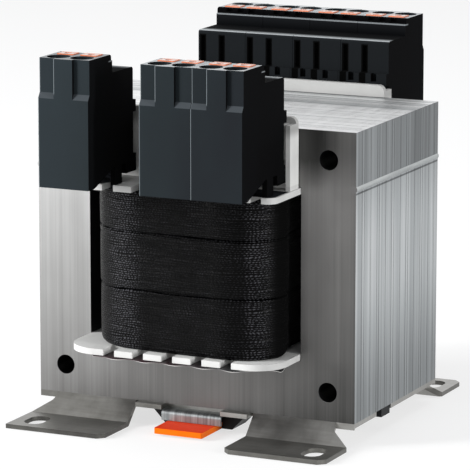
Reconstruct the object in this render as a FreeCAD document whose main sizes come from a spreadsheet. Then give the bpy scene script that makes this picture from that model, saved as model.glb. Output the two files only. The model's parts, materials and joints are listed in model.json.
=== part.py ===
import FreeCAD, Part

import math
import os

import Sketcher

# Control transformer: a welded EI lamination pack on a folded foot bracket, a wound bobbin with
# push-in terminals front and rear, and a clip that holds the whole on a 35 mm mounting rail.
# Millimetres. +Z is up, +X runs along the core, the primary terminals face -Y.
# The origin lies on the floor plane at the centre of the four foot slots.

DIMENSIONS = [
    ("core_width", 96.0, "EI 96 pack, along X"),
    ("core_height", 80.0, "E and I together, along Z"),
    ("stack_depth", 58.8, "thickness of the lamination stack, along Y"),
    ("yoke", 16.0, "height of the lower yoke, and of the I stack"),
    ("core_hole", 5.5, "diameter of the four corner holes"),
    ("core_hole_inset", 8.0, "corner hole to the edges of the pack"),
    ("packet_count", 17.0, "visible packets in the stack"),
    ("packet_line", 0.16, "width of the line between two packets"),
    ("packet_line_depth", 0.14, "depth of that line"),
    ("weld_radius", 1.0, "radius of the weld bead"),
    ("weld_proud", 0.3, "how far the bead stands out of the side"),
    ("weld_rise", 0.5, "bead centre above the joint"),
    ("sheet", 1.25, "thickness of the bracket sheet"),
    ("foot_drop", 5.25, "top of a foot below the top of the bracket plate"),
    ("riser_run", 5.4, "horizontal run of the sloping riser"),
    ("foot_reach", 15.5, "foot from its crease to its outer edge"),
    ("foot_inner", 18.0, "inner edge of a foot from the middle plane"),
    ("foot_neck", 5.4, "relief beside a riser, from the side of the bracket"),
    ("neck_straight", 1.8, "straight part of that relief"),
    ("foot_chamfer", 1.9, "cut corner of a foot"),
    ("slot_inset", 6.0, "foot slot from the side of the core"),
    ("slot_setback", 7.3, "foot slot from the outer edge of its foot"),
    ("slot_width", 5.8, "width of a foot slot"),
    ("slot_length", 9.0, "length of a foot slot, along Y"),
    ("tab_inner", 9.0, "inner edge of a centre tab from the middle plane"),
    ("tab_outer", 17.0, "outer edge of a centre tab"),
    ("tab_reach", 2.6, "centre tab in front of the core"),
    ("notch_back", 1.4, "bracket edge behind the core face between the feet"),
    ("edge_roll", 0.9, "rounding of the bracket's left lower edge"),
    ("side_notch_front", 14.0, "side notch starts this far in front of the middle"),
    ("side_notch_width", 10.3, "side notch, along Y"),
    ("side_notch_depth", 3.6, "side notch, along X"),
    ("rail_width", 35.0, "mounting rail that the clip takes"),
    ("rail_edge", 1.0, "thickness of the rail's edge"),
    ("rail_seat", 3.3, "height of the face that rests on the rail"),
    ("clip_top_half", 15.0, "half width of the clip body at the bracket"),
    ("clip_foot_half", 10.3, "half width of the clip body at its foot"),
    ("clip_foot", 0.4, "clip body above the floor plane"),
    ("clip_block", 9.0, "clip body in front of the rail, along Y"),
    ("hook_block", 8.0, "clip body behind the rail, along Y"),
    ("rail_play", 0.5, "rail edge to the clip body"),
    ("hook_grip", 2.2, "hook or latch under the rail's edge"),
    ("arm_width", 5.9, "snap arm of the clip body, along Y"),
    ("arm_thickness", 1.3, "thickness of a snap arm"),
    ("latch_width", 14.6, "width of the latch"),
    ("latch_thickness", 1.6, "thickness of the latch"),
    ("latch_front", 40.2, "front end of the latch from the middle plane"),
    ("latch_wing", 1.3, "guided wing on each side of the latch"),
    ("latch_wing_thickness", 0.8, "thickness of that wing"),
    ("guide_play", 0.12, "clearance of the latch in its guide"),
    ("latch_play", 0.2, "latch below the rail's edge"),
    ("clip_spring_half", 9.1, "half width of the folded spring"),
    ("clip_spring_sheet", 0.5, "thickness of the folded spring"),
    ("clip_spring_front", 31.7, "front face of the folded spring"),
    ("bobbin_play", 0.4, "bobbin tube to the centre limb"),
    ("tube_wall", 1.4, "wall of the bobbin tube"),
    ("flange", 1.7, "thickness of a bobbin flange"),
    ("flange_play", 0.2, "bobbin flange to the core"),
    ("flange_margin", 3.4, "flange edge beyond the coil, along Y"),
    ("low_flange_corner", 9.0, "corner radius of the lower flange"),
    ("high_flange_corner", 3.0, "corner radius of the upper flange"),
    ("tooth_length", 6.4, "depth of the gaps between the teeth"),
    ("tooth_gap", 3.4, "width of the gaps between the teeth"),
    ("tooth_share", 0.2767, "pitch of the teeth, as a share of the flange's half width"),
    ("carrier_wall", 1.6, "thickness of an upright carrier wall"),
    ("carrier_play", 0.3, "carrier wall to the core"),
    ("carrier_top", 3.3, "carrier walls above the core"),
    ("carrier_corner", 1.8, "rounded upper corners of a carrier wall"),
    ("cheek_wall", 1.3, "thickness of the cheeks at the ends of a carrier wall"),
    ("cheek_reach", 4.0, "cheek in front of its carrier wall"),
    ("cheek_top", 1.6, "cheeks above the core"),
    ("cheek_gap", 0.6, "groove between a cheek and the rib beside it"),
    ("cheek_rib", 1.0, "thickness of that rib"),
    ("cheek_rib_foot", 8.3, "lower end of that rib, above the upper flange"),
    ("dock_half", 4.2, "half width of the post behind a terminal"),
    ("dock_plug", 1.2, "post inside the pocket of its terminal"),
    ("dock_play", 0.05, "post to the sides and the floor of that pocket"),
    ("tube_corner", 1.5, "corner radius of the bobbin tube"),
    ("layer_play", 0.05, "play between two layers of the winding"),
    ("coil_play", 5.1, "finished coil to the side of the window"),
    ("end_swell", 1.36, "build of the winding over its ends, for 1 mm over its sides"),
    ("primary_share", 0.475, "primary winding, as a share of the room for wire"),
    ("barrier_build", 0.45, "thickness of the barrier foil"),
    ("wrap_build", 0.4, "thickness of the wrap foil"),
    ("tape_build", 1.4, "thickness of the outer tape"),
    ("tape_edge", 0.45, "worn edges of a tape band"),
    ("tape_seam_low", 0.38, "lower seam, as a share of the winding's height"),
    ("tape_seam_high", 0.746, "upper seam, as a share of the winding's height"),
    ("winding_end_play", 0.15, "winding to the flanges"),
    ("slot_foil", 0.3, "thickness of the foil under the lower flange"),
    ("slot_foil_reach", 0.9, "foil in front of the flange"),
    ("slot_foil_inset", 1.4, "foil inside the sides of the flange"),
    ("module_pitch", 15.0, "pitch of the terminals"),
    ("module_width", 14.9, "width of one terminal"),
    ("block_front", 31.7, "outer face of a terminal from its carrier wall"),
    ("block_rear", 5.0, "inner face of a terminal from its carrier wall"),
    ("block_top", 36.1, "top of a terminal above the upper flange"),
    ("block_foot", 1.1, "lower end of the outer face, above the upper flange"),
    ("tower_depth", 14.4, "high part of a terminal, along Y"),
    ("tower_set_back", 0.6, "set-back of the high part near its top"),
    ("tower_lip", 1.7, "set-back below the top of the high part"),
    ("shelf_drop", 5.0, "low part below the high part"),
    ("toe_depth", 3.3, "flat underside behind the outer face"),
    ("belly_run", 15.0, "end of the rising underside, from the outer face"),
    ("belly_top", 5.2, "underside above the leads, from the upper flange"),
    ("hook_depth", 4.3, "rear foot of a terminal, along Y"),
    ("hook_foot", 2.3, "underside of the rear foot, above the upper flange"),
    ("hook_reach", 1.7, "snap nubs beyond the inner face"),
    ("nub_foot", 18.6, "underside of the upper nub, above the upper flange"),
    ("nub_top", 21.9, "top of the upper nub, above the upper flange"),
    ("nub_gap", 1.7, "gap between the raised ends of the upper nub"),
    ("lower_nub_top", 7.1, "top of the lower nub, above the upper flange"),
    ("leg_front", 15.9, "front of the side legs, from the carrier wall"),
    ("leg_rear", 11.9, "rear of the side legs, from the carrier wall"),
    ("leg_width", 1.4, "thickness of a side leg"),
    ("leg_play", 0.15, "side leg above the upper flange"),
    ("recess_depth", 0.95, "depth of the two recesses in the outer face"),
    ("recess_height", 9.3, "height of the recesses"),
    ("recess_slope", 1.5, "height of the sloping ledge under a recess"),
    ("rib_half", 2.8, "half width of the rib between the recesses"),
    ("edge_round", 0.9, "rounded upper edges of a terminal"),
    ("pole_offset", 3.5, "wire entry from the middle of its terminal"),
    ("entry_inset", 4.5, "wire entry from the outer face"),
    ("entry_bore", 6.4, "diameter of a wire entry"),
    ("entry_depth", 4.6, "straight part of a wire entry"),
    ("throat_depth", 2.6, "narrow part of a wire entry"),
    ("wire_bore", 3.8, "diameter of that narrow part"),
    ("chamber_width", 5.2, "clamping chamber, along X"),
    ("chamber_wall", 2.0, "wall between the clamping chamber and the outer face"),
    ("chamber_reach", 12.8, "inner wall of the clamping chamber from the outer face"),
    ("chamber_foot", 9.9, "floor of the clamping chamber, above the upper flange"),
    ("button_inset", 8.0, "button pocket from the outer face"),
    ("button_pocket_depth", 4.0, "button pocket, along Y"),
    ("button_pocket_width", 5.0, "button pocket, along X"),
    ("button_play", 0.1, "clearance around a button"),
    ("button_proud", 0.25, "button above the terminal"),
    ("button_length", 11.6, "lower end of a button below the top of its terminal"),
    ("button_toe", 1.2, "retaining toe of a button"),
    ("button_toe_height", 1.5, "height of that toe"),
    ("driver_slot_width", 2.0, "slot in a button, along X"),
    ("driver_slot_height", 0.9, "slot in a button, along Y"),
    ("driver_slot_depth", 1.2, "depth of that slot"),
    ("test_slot_width", 2.2, "small openings at the inner upper edge"),
    ("test_slot_depth", 1.2, "depth of those openings"),
    ("test_slot_reach", 1.1, "length of those openings, along Y"),
    ("groove_depth", 0.8, "depth of the grooves in the inner face"),
    ("groove_width", 1.3, "width of the grooves in the inner face"),
    ("groove_side", 6.0, "outer groove from the middle of its terminal"),
    ("groove_length", 7.4, "length of the grooves in the inner face"),
    ("groove_drop", 1.6, "upper end of the grooves below the low part's top"),
    ("bar_sheet", 0.8, "thickness of a contact bar"),
    ("bar_width", 4.0, "width of a contact bar"),
    ("bar_head", 3.0, "top of a contact bar below the roof of its chamber"),
    ("bar_slot", 1.2, "slot in which a contact bar runs to its lead"),
    ("clamp_sheet", 0.4, "thickness of a clamp spring"),
    ("clamp_width", 3.8, "width of a clamp spring"),
    ("clamp_bend", 1.1, "cut corner of a clamp spring"),
    ("clamp_crown", 2.2, "top of a clamp spring below its button"),
    ("clamp_lean", 4.2, "height at which its free leg meets the bar"),
    ("clamp_play", 0.1, "contact pieces to each other and to their chamber"),
    ("lead_diameter", 1.6, "sleeved lead"),
    ("lead_setback", 1.1, "lead in its gap, from the end of the gap"),
    ("lead_entry", 13.4, "lead in its terminal, from the carrier wall"),
    ("lead_turn", 1.3, "turn of a lead above the flange and below its terminal"),
]

doc = FreeCAD.newDocument("control_transformer")
sheet = doc.addObject("Spreadsheet::Sheet", "dims")
for row, (alias, size, note) in enumerate(DIMENSIONS, start=1):
    sheet.set(f"A{row}", str(size))
    sheet.setAlias(f"A{row}", alias)
    sheet.set(f"B{row}", note)
doc.recompute()

V = FreeCAD.Vector
kept = []
LEAD_SIDES = 10

# Places that several pieces share, as expressions on the sheet.
PLATE_TOP = "(dims.sheet + dims.foot_drop)"
CORE_SIDE = "(dims.core_width / 2)"
CORE_FACE = "(dims.stack_depth / 2)"
JOINT = f"({PLATE_TOP} + dims.core_height - dims.yoke)"
CORE_TOP = f"({PLATE_TOP} + dims.core_height)"
WINDOW_FOOT = f"({PLATE_TOP} + dims.yoke)"
LIMB_HALF = "(dims.core_width / 6)"
WINDOW_SIDE = "(dims.core_width / 3)"
FOOT_CREASE = f"({CORE_FACE} + dims.riser_run)"
FOOT_EDGE = f"({FOOT_CREASE} + dims.foot_reach)"
BEND_SHIFT = "(dims.sheet * tan(atan(dims.foot_drop / dims.riser_run) / 2))"
SLOT_X = f"({CORE_SIDE} - dims.slot_inset)"
SLOT_Y = f"({FOOT_EDGE} - dims.slot_setback)"
RAIL_HALF = "(dims.rail_width / 2)"
LATCH_TOP = "(dims.rail_seat - dims.rail_edge - dims.latch_play)"
LATCH_FOOT = f"({LATCH_TOP} - dims.latch_thickness)"
LOW_FLANGE_FOOT = f"({WINDOW_FOOT} + dims.flange_play)"
LOW_FLANGE_TOP = f"({LOW_FLANGE_FOOT} + dims.flange)"
HIGH_FLANGE_TOP = f"({JOINT} - dims.flange_play)"
HIGH_FLANGE_FOOT = f"({HIGH_FLANGE_TOP} - dims.flange)"
FLANGE_SIDE = f"({WINDOW_SIDE} - dims.flange_play)"
TOOTH_PITCH = f"({FLANGE_SIDE} * dims.tooth_share)"
TUBE_HALF_X = f"({LIMB_HALF} + dims.bobbin_play + dims.tube_wall)"
TUBE_HALF_Y = f"({CORE_FACE} + dims.bobbin_play + dims.tube_wall)"
WRAPPING = "(dims.barrier_build + dims.wrap_build + dims.tape_build + 5 * dims.layer_play)"
WIRE_ROOM = f"({WINDOW_SIDE} - dims.coil_play - {TUBE_HALF_X} - {WRAPPING})"
PRIMARY_BUILD = f"({WIRE_ROOM} * dims.primary_share)"
SECONDARY_BUILD = f"({WIRE_ROOM} * (1 - dims.primary_share))"
WINDING_FOOT = f"({LOW_FLANGE_TOP} + dims.winding_end_play)"
WINDING_TOP = f"({HIGH_FLANGE_FOOT} - dims.winding_end_play)"
TAPE_SEAM_LOW = f"({WINDING_FOOT} + ({WINDING_TOP} - {WINDING_FOOT}) * dims.tape_seam_low)"
TAPE_SEAM_HIGH = f"({WINDING_FOOT} + ({WINDING_TOP} - {WINDING_FOOT}) * dims.tape_seam_high)"
FLANGE_HALF = f"({TUBE_HALF_Y} + ({WIRE_ROOM} + {WRAPPING}) * dims.end_swell + dims.flange_margin)"
LEAD_START = f"({FLANGE_HALF} - dims.tooth_length + dims.lead_setback)"
CARRIER_INNER = f"({CORE_FACE} + dims.carrier_play)"
CARRIER_OUTER = f"({CARRIER_INNER} + dims.carrier_wall)"
CARRIER_HALF = "(2 * dims.module_pitch + dims.cheek_wall)"
CARRIER_TOP = f"({CORE_TOP} + dims.carrier_top)"
CHEEK_TOP = f"({CORE_TOP} + dims.cheek_top)"
CHEEK_RIB_FOOT = f"({HIGH_FLANGE_TOP} + dims.cheek_rib_foot)"
DOCK_END = f"({CARRIER_OUTER} + dims.block_rear + dims.dock_plug)"
DOCK_FOOT = f"({HIGH_FLANGE_TOP} + dims.lower_nub_top + dims.dock_play)"
DOCK_TOP = f"({HIGH_FLANGE_TOP} + dims.nub_foot)"

# Places in a terminal's own frame, which starts at its carrier wall and on the upper flange.
TOWER_REAR = "(dims.block_front - dims.tower_depth)"
TOWER_LEDGE = "(dims.block_top - dims.tower_lip)"
SHELF_TOP = "(dims.block_top - dims.shelf_drop)"
BELLY_FRONT = "(dims.block_front - dims.toe_depth)"
BELLY_REAR = "(dims.block_front - dims.belly_run)"
HOOK_FRONT = "(dims.block_rear + dims.hook_depth)"
RECESS_FOOT = "(dims.block_top - dims.recess_height)"
ENTRY_CENTRE = "(dims.block_front - dims.entry_inset)"
CHAMBER_FRONT = "(dims.block_front - dims.chamber_wall)"
CHAMBER_REAR = "(dims.block_front - dims.chamber_reach)"
CHAMBER_TOP = "(dims.block_top - dims.entry_depth - dims.throat_depth)"
BUTTON_FRONT = "(dims.block_front - dims.button_inset)"
BUTTON_REAR = f"({BUTTON_FRONT} - dims.button_pocket_depth)"
BUTTON_FOOT = "(dims.block_top - dims.button_length)"
GROOVE_TOP = f"({SHELF_TOP} - dims.groove_drop)"
GROOVE_FOOT = f"({GROOVE_TOP} - dims.groove_length)"


def number(expression):
    """Value of an expression on the sheet, in plain millimetres."""
    return float(sheet.evalExpression(expression))


def keep(piece, name):
    """Marks a document object as a finished sub-part of that name."""
    piece.Label = name
    kept.append(piece)
    return piece


def new_body(name):
    body = doc.addObject("PartDesign::Body", name)
    body.Label = name
    return body


def new_sketch(body, role, name, offset=None):
    """Empty sketch on one of the body's own origin planes, moved along the plane's normal."""
    plane = next(item for item in body.Origin.OriginFeatures if item.Role == role)
    sketch = body.newObject("Sketcher::SketchObject", name)
    sketch.AttachmentSupport = [(plane, "")]
    sketch.MapMode = "FlatFace"
    if offset is not None:
        sketch.setExpression("AttachmentOffset.Base.z", offset)
    return sketch


def bind(sketch, kind, geometry, point, expression):
    """Places one sketch point by a distance from the origin that follows an expression."""
    index = sketch.addConstraint(Sketcher.Constraint(kind, -1, 1, geometry, point, number(expression)))
    sketch.setExpression(f"Constraints[{index}]", expression)


def add_polygon(sketch, corners):
    """Closed polygon whose corners are pairs of expressions."""
    first = sketch.GeometryCount
    places = [V(number(a), number(b), 0) for a, b in corners]
    count = len(corners)
    for index in range(count):
        sketch.addGeometry(Part.LineSegment(places[index], places[(index + 1) % count]), False)
    for index in range(count):
        following = first + (index + 1) % count
        sketch.addConstraint(Sketcher.Constraint("Coincident", first + index, 2, following, 1))
    for index, (a, b) in enumerate(corners):
        bind(sketch, "DistanceX", first + index, 1, a)
        bind(sketch, "DistanceY", first + index, 1, b)


def add_rectangle(sketch, left, right, low, high):
    add_polygon(sketch, [(left, low), (right, low), (right, high), (left, high)])


def add_circle(sketch, x, y, diameter):
    circle = Part.Circle(V(number(x), number(y), 0), V(0, 0, 1), number(diameter) / 2)
    index = sketch.addGeometry(circle, False)
    bind(sketch, "DistanceX", index, 3, x)
    bind(sketch, "DistanceY", index, 3, y)
    size = sketch.addConstraint(Sketcher.Constraint("Diameter", index, number(diameter)))
    sketch.setExpression(f"Constraints[{size}]", diameter)


def add_slot(sketch, x, y, width, length):
    """Round-ended slot along the sketch's second axis."""
    half = number(width) / 2
    centre_x = number(x)
    low = f"({y} - ({length} - {width}) / 2)"
    high = f"({y} + ({length} - {width}) / 2)"
    left = f"({x} - {width} / 2)"
    right = f"({x} + {width} / 2)"
    low_place = V(centre_x, number(low), 0)
    high_place = V(centre_x, number(high), 0)
    side = V(half, 0, 0)
    up = V(0, 0, 1)
    right_line = sketch.addGeometry(Part.LineSegment(low_place + side, high_place + side), False)
    top_arc = sketch.addGeometry(Part.ArcOfCircle(Part.Circle(high_place, up, half), 0, math.pi), False)
    left_line = sketch.addGeometry(Part.LineSegment(high_place - side, low_place - side), False)
    foot_arc = sketch.addGeometry(
        Part.ArcOfCircle(Part.Circle(low_place, up, half), math.pi, 2 * math.pi), False)
    for first, second in ((right_line, top_arc), (top_arc, left_line),
                          (left_line, foot_arc), (foot_arc, right_line)):
        sketch.addConstraint(Sketcher.Constraint("Coincident", first, 2, second, 1))
    for line, start, across in ((right_line, low, right), (left_line, high, left)):
        finish = high if line == right_line else low
        bind(sketch, "DistanceX", line, 1, across)
        bind(sketch, "DistanceY", line, 1, start)
        bind(sketch, "DistanceX", line, 2, across)
        bind(sketch, "DistanceY", line, 2, finish)
    bind(sketch, "DistanceY", top_arc, 3, high)
    bind(sketch, "DistanceY", foot_arc, 3, low)


def add_round_rectangle(sketch, half_x, half_y, radius):
    """Rectangle about the origin with four equal tangent corner arcs."""
    a = number(half_x)
    b = number(half_y)
    r = number(radius)
    up = V(0, 0, 1)
    quarter = math.pi / 2
    corners = [(a - r, b - r, 0), (r - a, b - r, 1), (r - a, r - b, 2), (a - r, r - b, 3)]
    arcs = []
    for x, y, turn in corners:
        circle = Part.Circle(V(x, y, 0), up, r)
        arcs.append(sketch.addGeometry(
            Part.ArcOfCircle(circle, turn * quarter, (turn + 1) * quarter), False))
    lines = []
    for index in range(4):
        start = sketch.Geometry[arcs[index]].EndPoint
        finish = sketch.Geometry[arcs[(index + 1) % 4]].StartPoint
        lines.append(sketch.addGeometry(Part.LineSegment(start, finish), False))
    for index in range(4):
        following = arcs[(index + 1) % 4]
        sketch.addConstraint(Sketcher.Constraint("Tangent", arcs[index], 2, lines[index], 1))
        sketch.addConstraint(Sketcher.Constraint("Tangent", lines[index], 2, following, 1))
    sketch.addConstraint(Sketcher.Constraint("Horizontal", lines[0]))
    sketch.addConstraint(Sketcher.Constraint("Horizontal", lines[2]))
    sketch.addConstraint(Sketcher.Constraint("Vertical", lines[1]))
    sketch.addConstraint(Sketcher.Constraint("Vertical", lines[3]))
    for arc in arcs[1:]:
        sketch.addConstraint(Sketcher.Constraint("Equal", arcs[0], arc))
    size = sketch.addConstraint(Sketcher.Constraint("Radius", arcs[0], r))
    sketch.setExpression(f"Constraints[{size}]", radius)
    bind(sketch, "DistanceY", lines[0], 1, half_y)
    bind(sketch, "DistanceX", lines[1], 1, f"-1 * {half_x}")
    bind(sketch, "DistanceY", lines[2], 1, f"-1 * {half_y}")
    bind(sketch, "DistanceX", lines[3], 1, half_x)


def add_feature(body, kind, sketch, length=None, symmetric=False, back=False):
    """Pad or Pocket of a sketch, through everything when no length is given."""
    feature = body.newObject(f"PartDesign::{kind}", f"{sketch.Name}_{kind.lower()}")
    feature.Profile = sketch
    if length is None:
        feature.Type = "ThroughAll"
        feature.SideType = "Symmetric"
    else:
        feature.setExpression("Length", length)
        if symmetric:
            feature.SideType = "Symmetric"
        feature.Reversed = back
    sketch.Visibility = False
    return feature


def side_profile(body, kind, name, centre, width, corners):
    """Prism along X: its corners are given in Y and Z, and it is centred on one X."""
    sketch = new_sketch(body, "YZ_Plane", name, centre)
    add_polygon(sketch, corners)
    return add_feature(body, kind, sketch, width, symmetric=True)


def box_between(body, kind, name, x_range, y_range, z_range):
    """Block between two expressions on each axis, as a prism along Z."""
    sketch = new_sketch(body, "XY_Plane", name, z_range[0])
    add_rectangle(sketch, x_range[0], x_range[1], y_range[0], y_range[1])
    height = f"({z_range[1]}) - ({z_range[0]})"
    return add_feature(body, kind, sketch, height, back=(kind == "Pocket"))


def edges_where(shape, test):
    """Names of the straight edges whose middle and direction pass a test."""
    names = []
    for index, edge in enumerate(shape.Edges, start=1):
        if edge.Curve.TypeId != "Part::GeomLine":
            continue
        ends = [vertex.Point for vertex in edge.Vertexes]
        if len(ends) == 2 and test((ends[0] + ends[1]) / 2, (ends[1] - ends[0]).normalize()):
            names.append(f"Edge{index}")
    return names


def dress_edges(body, kind, name, size_name, size, test):
    """Fillet or Chamfer on the edges of the body's last feature that pass a test."""
    doc.recompute()
    base = body.Tip
    feature = body.newObject(f"PartDesign::{kind}", name)
    feature.Base = (base, edges_where(base.Shape, test))
    feature.setExpression(size_name, size)
    return feature


def near(value, expression):
    return abs(value - number(expression)) < 0.01


def along(direction, axis):
    return abs(abs(direction.dot(axis)) - 1) < 1e-6


# Lamination stacks. Each is punched sheet, welded into one block; fine lines show its packets.

def make_packet_lines():
    """Thin frames that score the outline of the pack at uneven heights of the stack."""
    depth = number("dims.stack_depth")
    count = int(round(number("dims.packet_count")))
    width = number("dims.packet_line")
    inset = number("dims.packet_line_depth")
    side = number(CORE_SIDE)
    low = number(PLATE_TOP)
    high = number(CORE_TOP)
    spread = 0.32
    margin = 1.0
    frames = []
    for index in range(1, count):
        place = depth * (index + spread * math.sin(2.1 * index)) / count - depth / 2
        outer = Part.makeBox(2 * side + 2 * margin, width, high - low + 2 * margin,
                             V(-side - margin, place - width / 2, low - margin))
        inner = Part.makeBox(2 * side - 2 * inset, width, high - low - 2 * inset,
                             V(-side + inset, place - width / 2, low + inset))
        frames.append(outer.cut(inner))
    lines = doc.addObject("Part::Feature", "packet_lines")
    lines.Shape = Part.Compound(frames)
    return lines


def groove_for_weld(body, name, sign):
    """Half-round channel along the joint of the two stacks, on one side."""
    channel = body.newObject("PartDesign::SubtractiveCylinder", name)
    channel.Placement = FreeCAD.Placement(V(0, 0, 0), FreeCAD.Rotation(V(1, 0, 0), 90))
    channel.setExpression("Radius", "dims.weld_radius")
    channel.setExpression("Height", "dims.stack_depth + 2")
    channel.setExpression("Placement.Base.x", f"{sign} * ({CORE_SIDE} + dims.weld_proud - dims.weld_radius)")
    channel.setExpression("Placement.Base.y", f"{CORE_FACE} + 1")
    channel.setExpression("Placement.Base.z", f"{JOINT} + dims.weld_rise")


def make_stack(name, outline, hole_height, packet_lines):
    """One lamination stack from its punched outline, with its two corner holes."""
    body = new_body(f"{name}_blank")
    sketch = new_sketch(body, "XZ_Plane", f"{name}_outline")
    add_polygon(sketch, outline)
    add_feature(body, "Pad", sketch, "dims.stack_depth", symmetric=True)
    holes = new_sketch(body, "XZ_Plane", f"{name}_holes")
    for sign in (-1, 1):
        add_circle(holes, f"{sign} * ({CORE_SIDE} - dims.core_hole_inset)", hole_height, "dims.core_hole")
    add_feature(body, "Pocket", holes)
    for side, sign in (("left", -1), ("right", 1)):
        groove_for_weld(body, f"{name}_weld_{side}", sign)
    stack = doc.addObject("Part::Cut", name)
    stack.Base = body
    stack.Tool = packet_lines
    return keep(stack, name)


def make_core():
    lines = make_packet_lines()
    outline = []
    for sign in (-1, 1):
        half = [
            (f"{sign} * {CORE_SIDE}", PLATE_TOP),
            (f"{sign} * {CORE_SIDE}", JOINT),
            (f"{sign} * {WINDOW_SIDE}", JOINT),
            (f"{sign} * {WINDOW_SIDE}", WINDOW_FOOT),
            (f"{sign} * {LIMB_HALF}", WINDOW_FOOT),
            (f"{sign} * {LIMB_HALF}", JOINT),
        ]
        outline += half if sign < 0 else half[::-1]
    make_stack("e_core", outline, f"{PLATE_TOP} + dims.core_hole_inset", lines)
    bar = [(f"-1 * {CORE_SIDE}", JOINT), (CORE_SIDE, JOINT),
           (CORE_SIDE, CORE_TOP), (f"-1 * {CORE_SIDE}", CORE_TOP)]
    make_stack("i_core", bar, f"{CORE_TOP} - dims.core_hole_inset", lines)


def make_weld_seams():
    for side, sign in (("left", -1), ("right", 1)):
        bead = doc.addObject("Part::Cylinder", f"weld_seam_{side}")
        bead.Placement = FreeCAD.Placement(V(0, 0, 0), FreeCAD.Rotation(V(1, 0, 0), 90))
        bead.setExpression("Radius", "dims.weld_radius")
        bead.setExpression("Height", "dims.stack_depth")
        bead.setExpression("Placement.Base.x", f"{sign} * ({CORE_SIDE} + dims.weld_proud - dims.weld_radius)")
        bead.setExpression("Placement.Base.y", CORE_FACE)
        bead.setExpression("Placement.Base.z", f"{JOINT} + dims.weld_rise")
        keep(bead, f"weld_seam_{side}")


# Bracket. One sheet: plate, four sloping risers and four feet with slots.

def make_bracket():
    body = new_body("mounting_bracket")
    lower_crease = f"({FOOT_CREASE} - {BEND_SHIFT})"
    upper_crease = f"({CORE_FACE} - {BEND_SHIFT})"
    upper = [(f"-1 * {FOOT_EDGE}", "0"), (f"-1 * {FOOT_EDGE}", "dims.sheet"),
             (f"-1 * {FOOT_CREASE}", "dims.sheet"), (f"-1 * {CORE_FACE}", PLATE_TOP),
             (CORE_FACE, PLATE_TOP), (FOOT_CREASE, "dims.sheet"),
             (FOOT_EDGE, "dims.sheet"), (FOOT_EDGE, "0")]
    lower = [(lower_crease, "0"), (upper_crease, "dims.foot_drop"),
             (f"-1 * {upper_crease}", "dims.foot_drop"), (f"-1 * {lower_crease}", "0")]
    side_profile(body, "Pad", "bracket_section", "0", "dims.core_width", upper + lower)

    def rolled_edge(middle, direction):
        return (along(direction, V(0, 1, 0)) and near(middle.x, f"-1 * {CORE_SIDE}")
                and near(middle.z, "dims.foot_drop"))

    dress_edges(body, "Fillet", "bracket_roll", "Radius", "dims.edge_roll", rolled_edge)

    beyond_x = f"({CORE_SIDE} + 1)"
    beyond_y = f"({FOOT_EDGE} + 1)"
    neck = f"({CORE_SIDE} - dims.foot_neck)"
    for end, way in (("front", -1), ("rear", 1)):
        gap = new_sketch(body, "XY_Plane", f"bracket_gap_{end}")
        inner = f"{way} * ({CORE_FACE} - dims.notch_back)"
        add_rectangle(gap, "-1 * dims.foot_inner", "dims.foot_inner", inner, f"{way} * {beyond_y}")
        add_feature(body, "Pocket", gap)
        relief = new_sketch(body, "XY_Plane", f"bracket_relief_{end}")
        for sign in (-1, 1):
            corners = [(f"{sign} * {beyond_x}", CORE_FACE), (f"{sign} * {neck}", CORE_FACE),
                       (f"{sign} * {neck}", f"({CORE_FACE} + dims.neck_straight)"),
                       (f"{sign} * {CORE_SIDE}", FOOT_CREASE), (f"{sign} * {beyond_x}", FOOT_CREASE)]
            add_polygon(relief, [(a, f"{way} * {b}") for a, b in corners])
        add_feature(body, "Pocket", relief)
        slots = new_sketch(body, "XY_Plane", f"bracket_slots_{end}")
        for sign in (-1, 1):
            add_slot(slots, f"({sign} * {SLOT_X})", f"({way} * {SLOT_Y})",
                     "dims.slot_width", "dims.slot_length")
        add_feature(body, "Pocket", slots)
        for side, sign in (("left", -1), ("right", 1)):
            ends = sorted([f"{sign} * dims.tab_inner", f"{sign} * dims.tab_outer"], key=number)
            tab = sorted([f"{way} * ({CORE_FACE} - dims.notch_back - 1)",
                          f"{way} * ({CORE_FACE} + dims.tab_reach)"], key=number)
            box_between(body, "Pad", f"bracket_tab_{end}_{side}", ends, tab, ("dims.foot_drop", PLATE_TOP))
    notches = new_sketch(body, "XY_Plane", "bracket_side_notches")
    for sign in (-1, 1):
        ends = sorted([f"{sign} * ({CORE_SIDE} - dims.side_notch_depth)", f"{sign} * {beyond_x}"], key=number)
        add_rectangle(notches, ends[0], ends[1], "-1 * dims.side_notch_front",
                      "dims.side_notch_width - dims.side_notch_front")
    add_feature(body, "Pocket", notches)

    def neck_corner(middle, direction):
        return (abs(middle.z) < number(PLATE_TOP) and near(abs(middle.x), neck)
                and near(abs(middle.y), f"({CORE_FACE} + dims.neck_straight)"))

    def foot_corner(middle, direction):
        outer = middle.x > 0 and near(middle.x, CORE_SIDE)
        inner = near(abs(middle.x), "dims.foot_inner")
        return (outer or inner) and near(abs(middle.y), FOOT_EDGE) and near(middle.z, "dims.sheet / 2")

    dress_edges(body, "Fillet", "bracket_neck", "Radius", "dims.neck_straight", neck_corner)
    dress_edges(body, "Chamfer", "bracket_corners", "Size", "dims.foot_chamfer", foot_corner)
    return keep(body, "mounting_bracket")


# Rail clip. A dark body under the bracket guides the latch; a folded spring presses on the latch.

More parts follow.
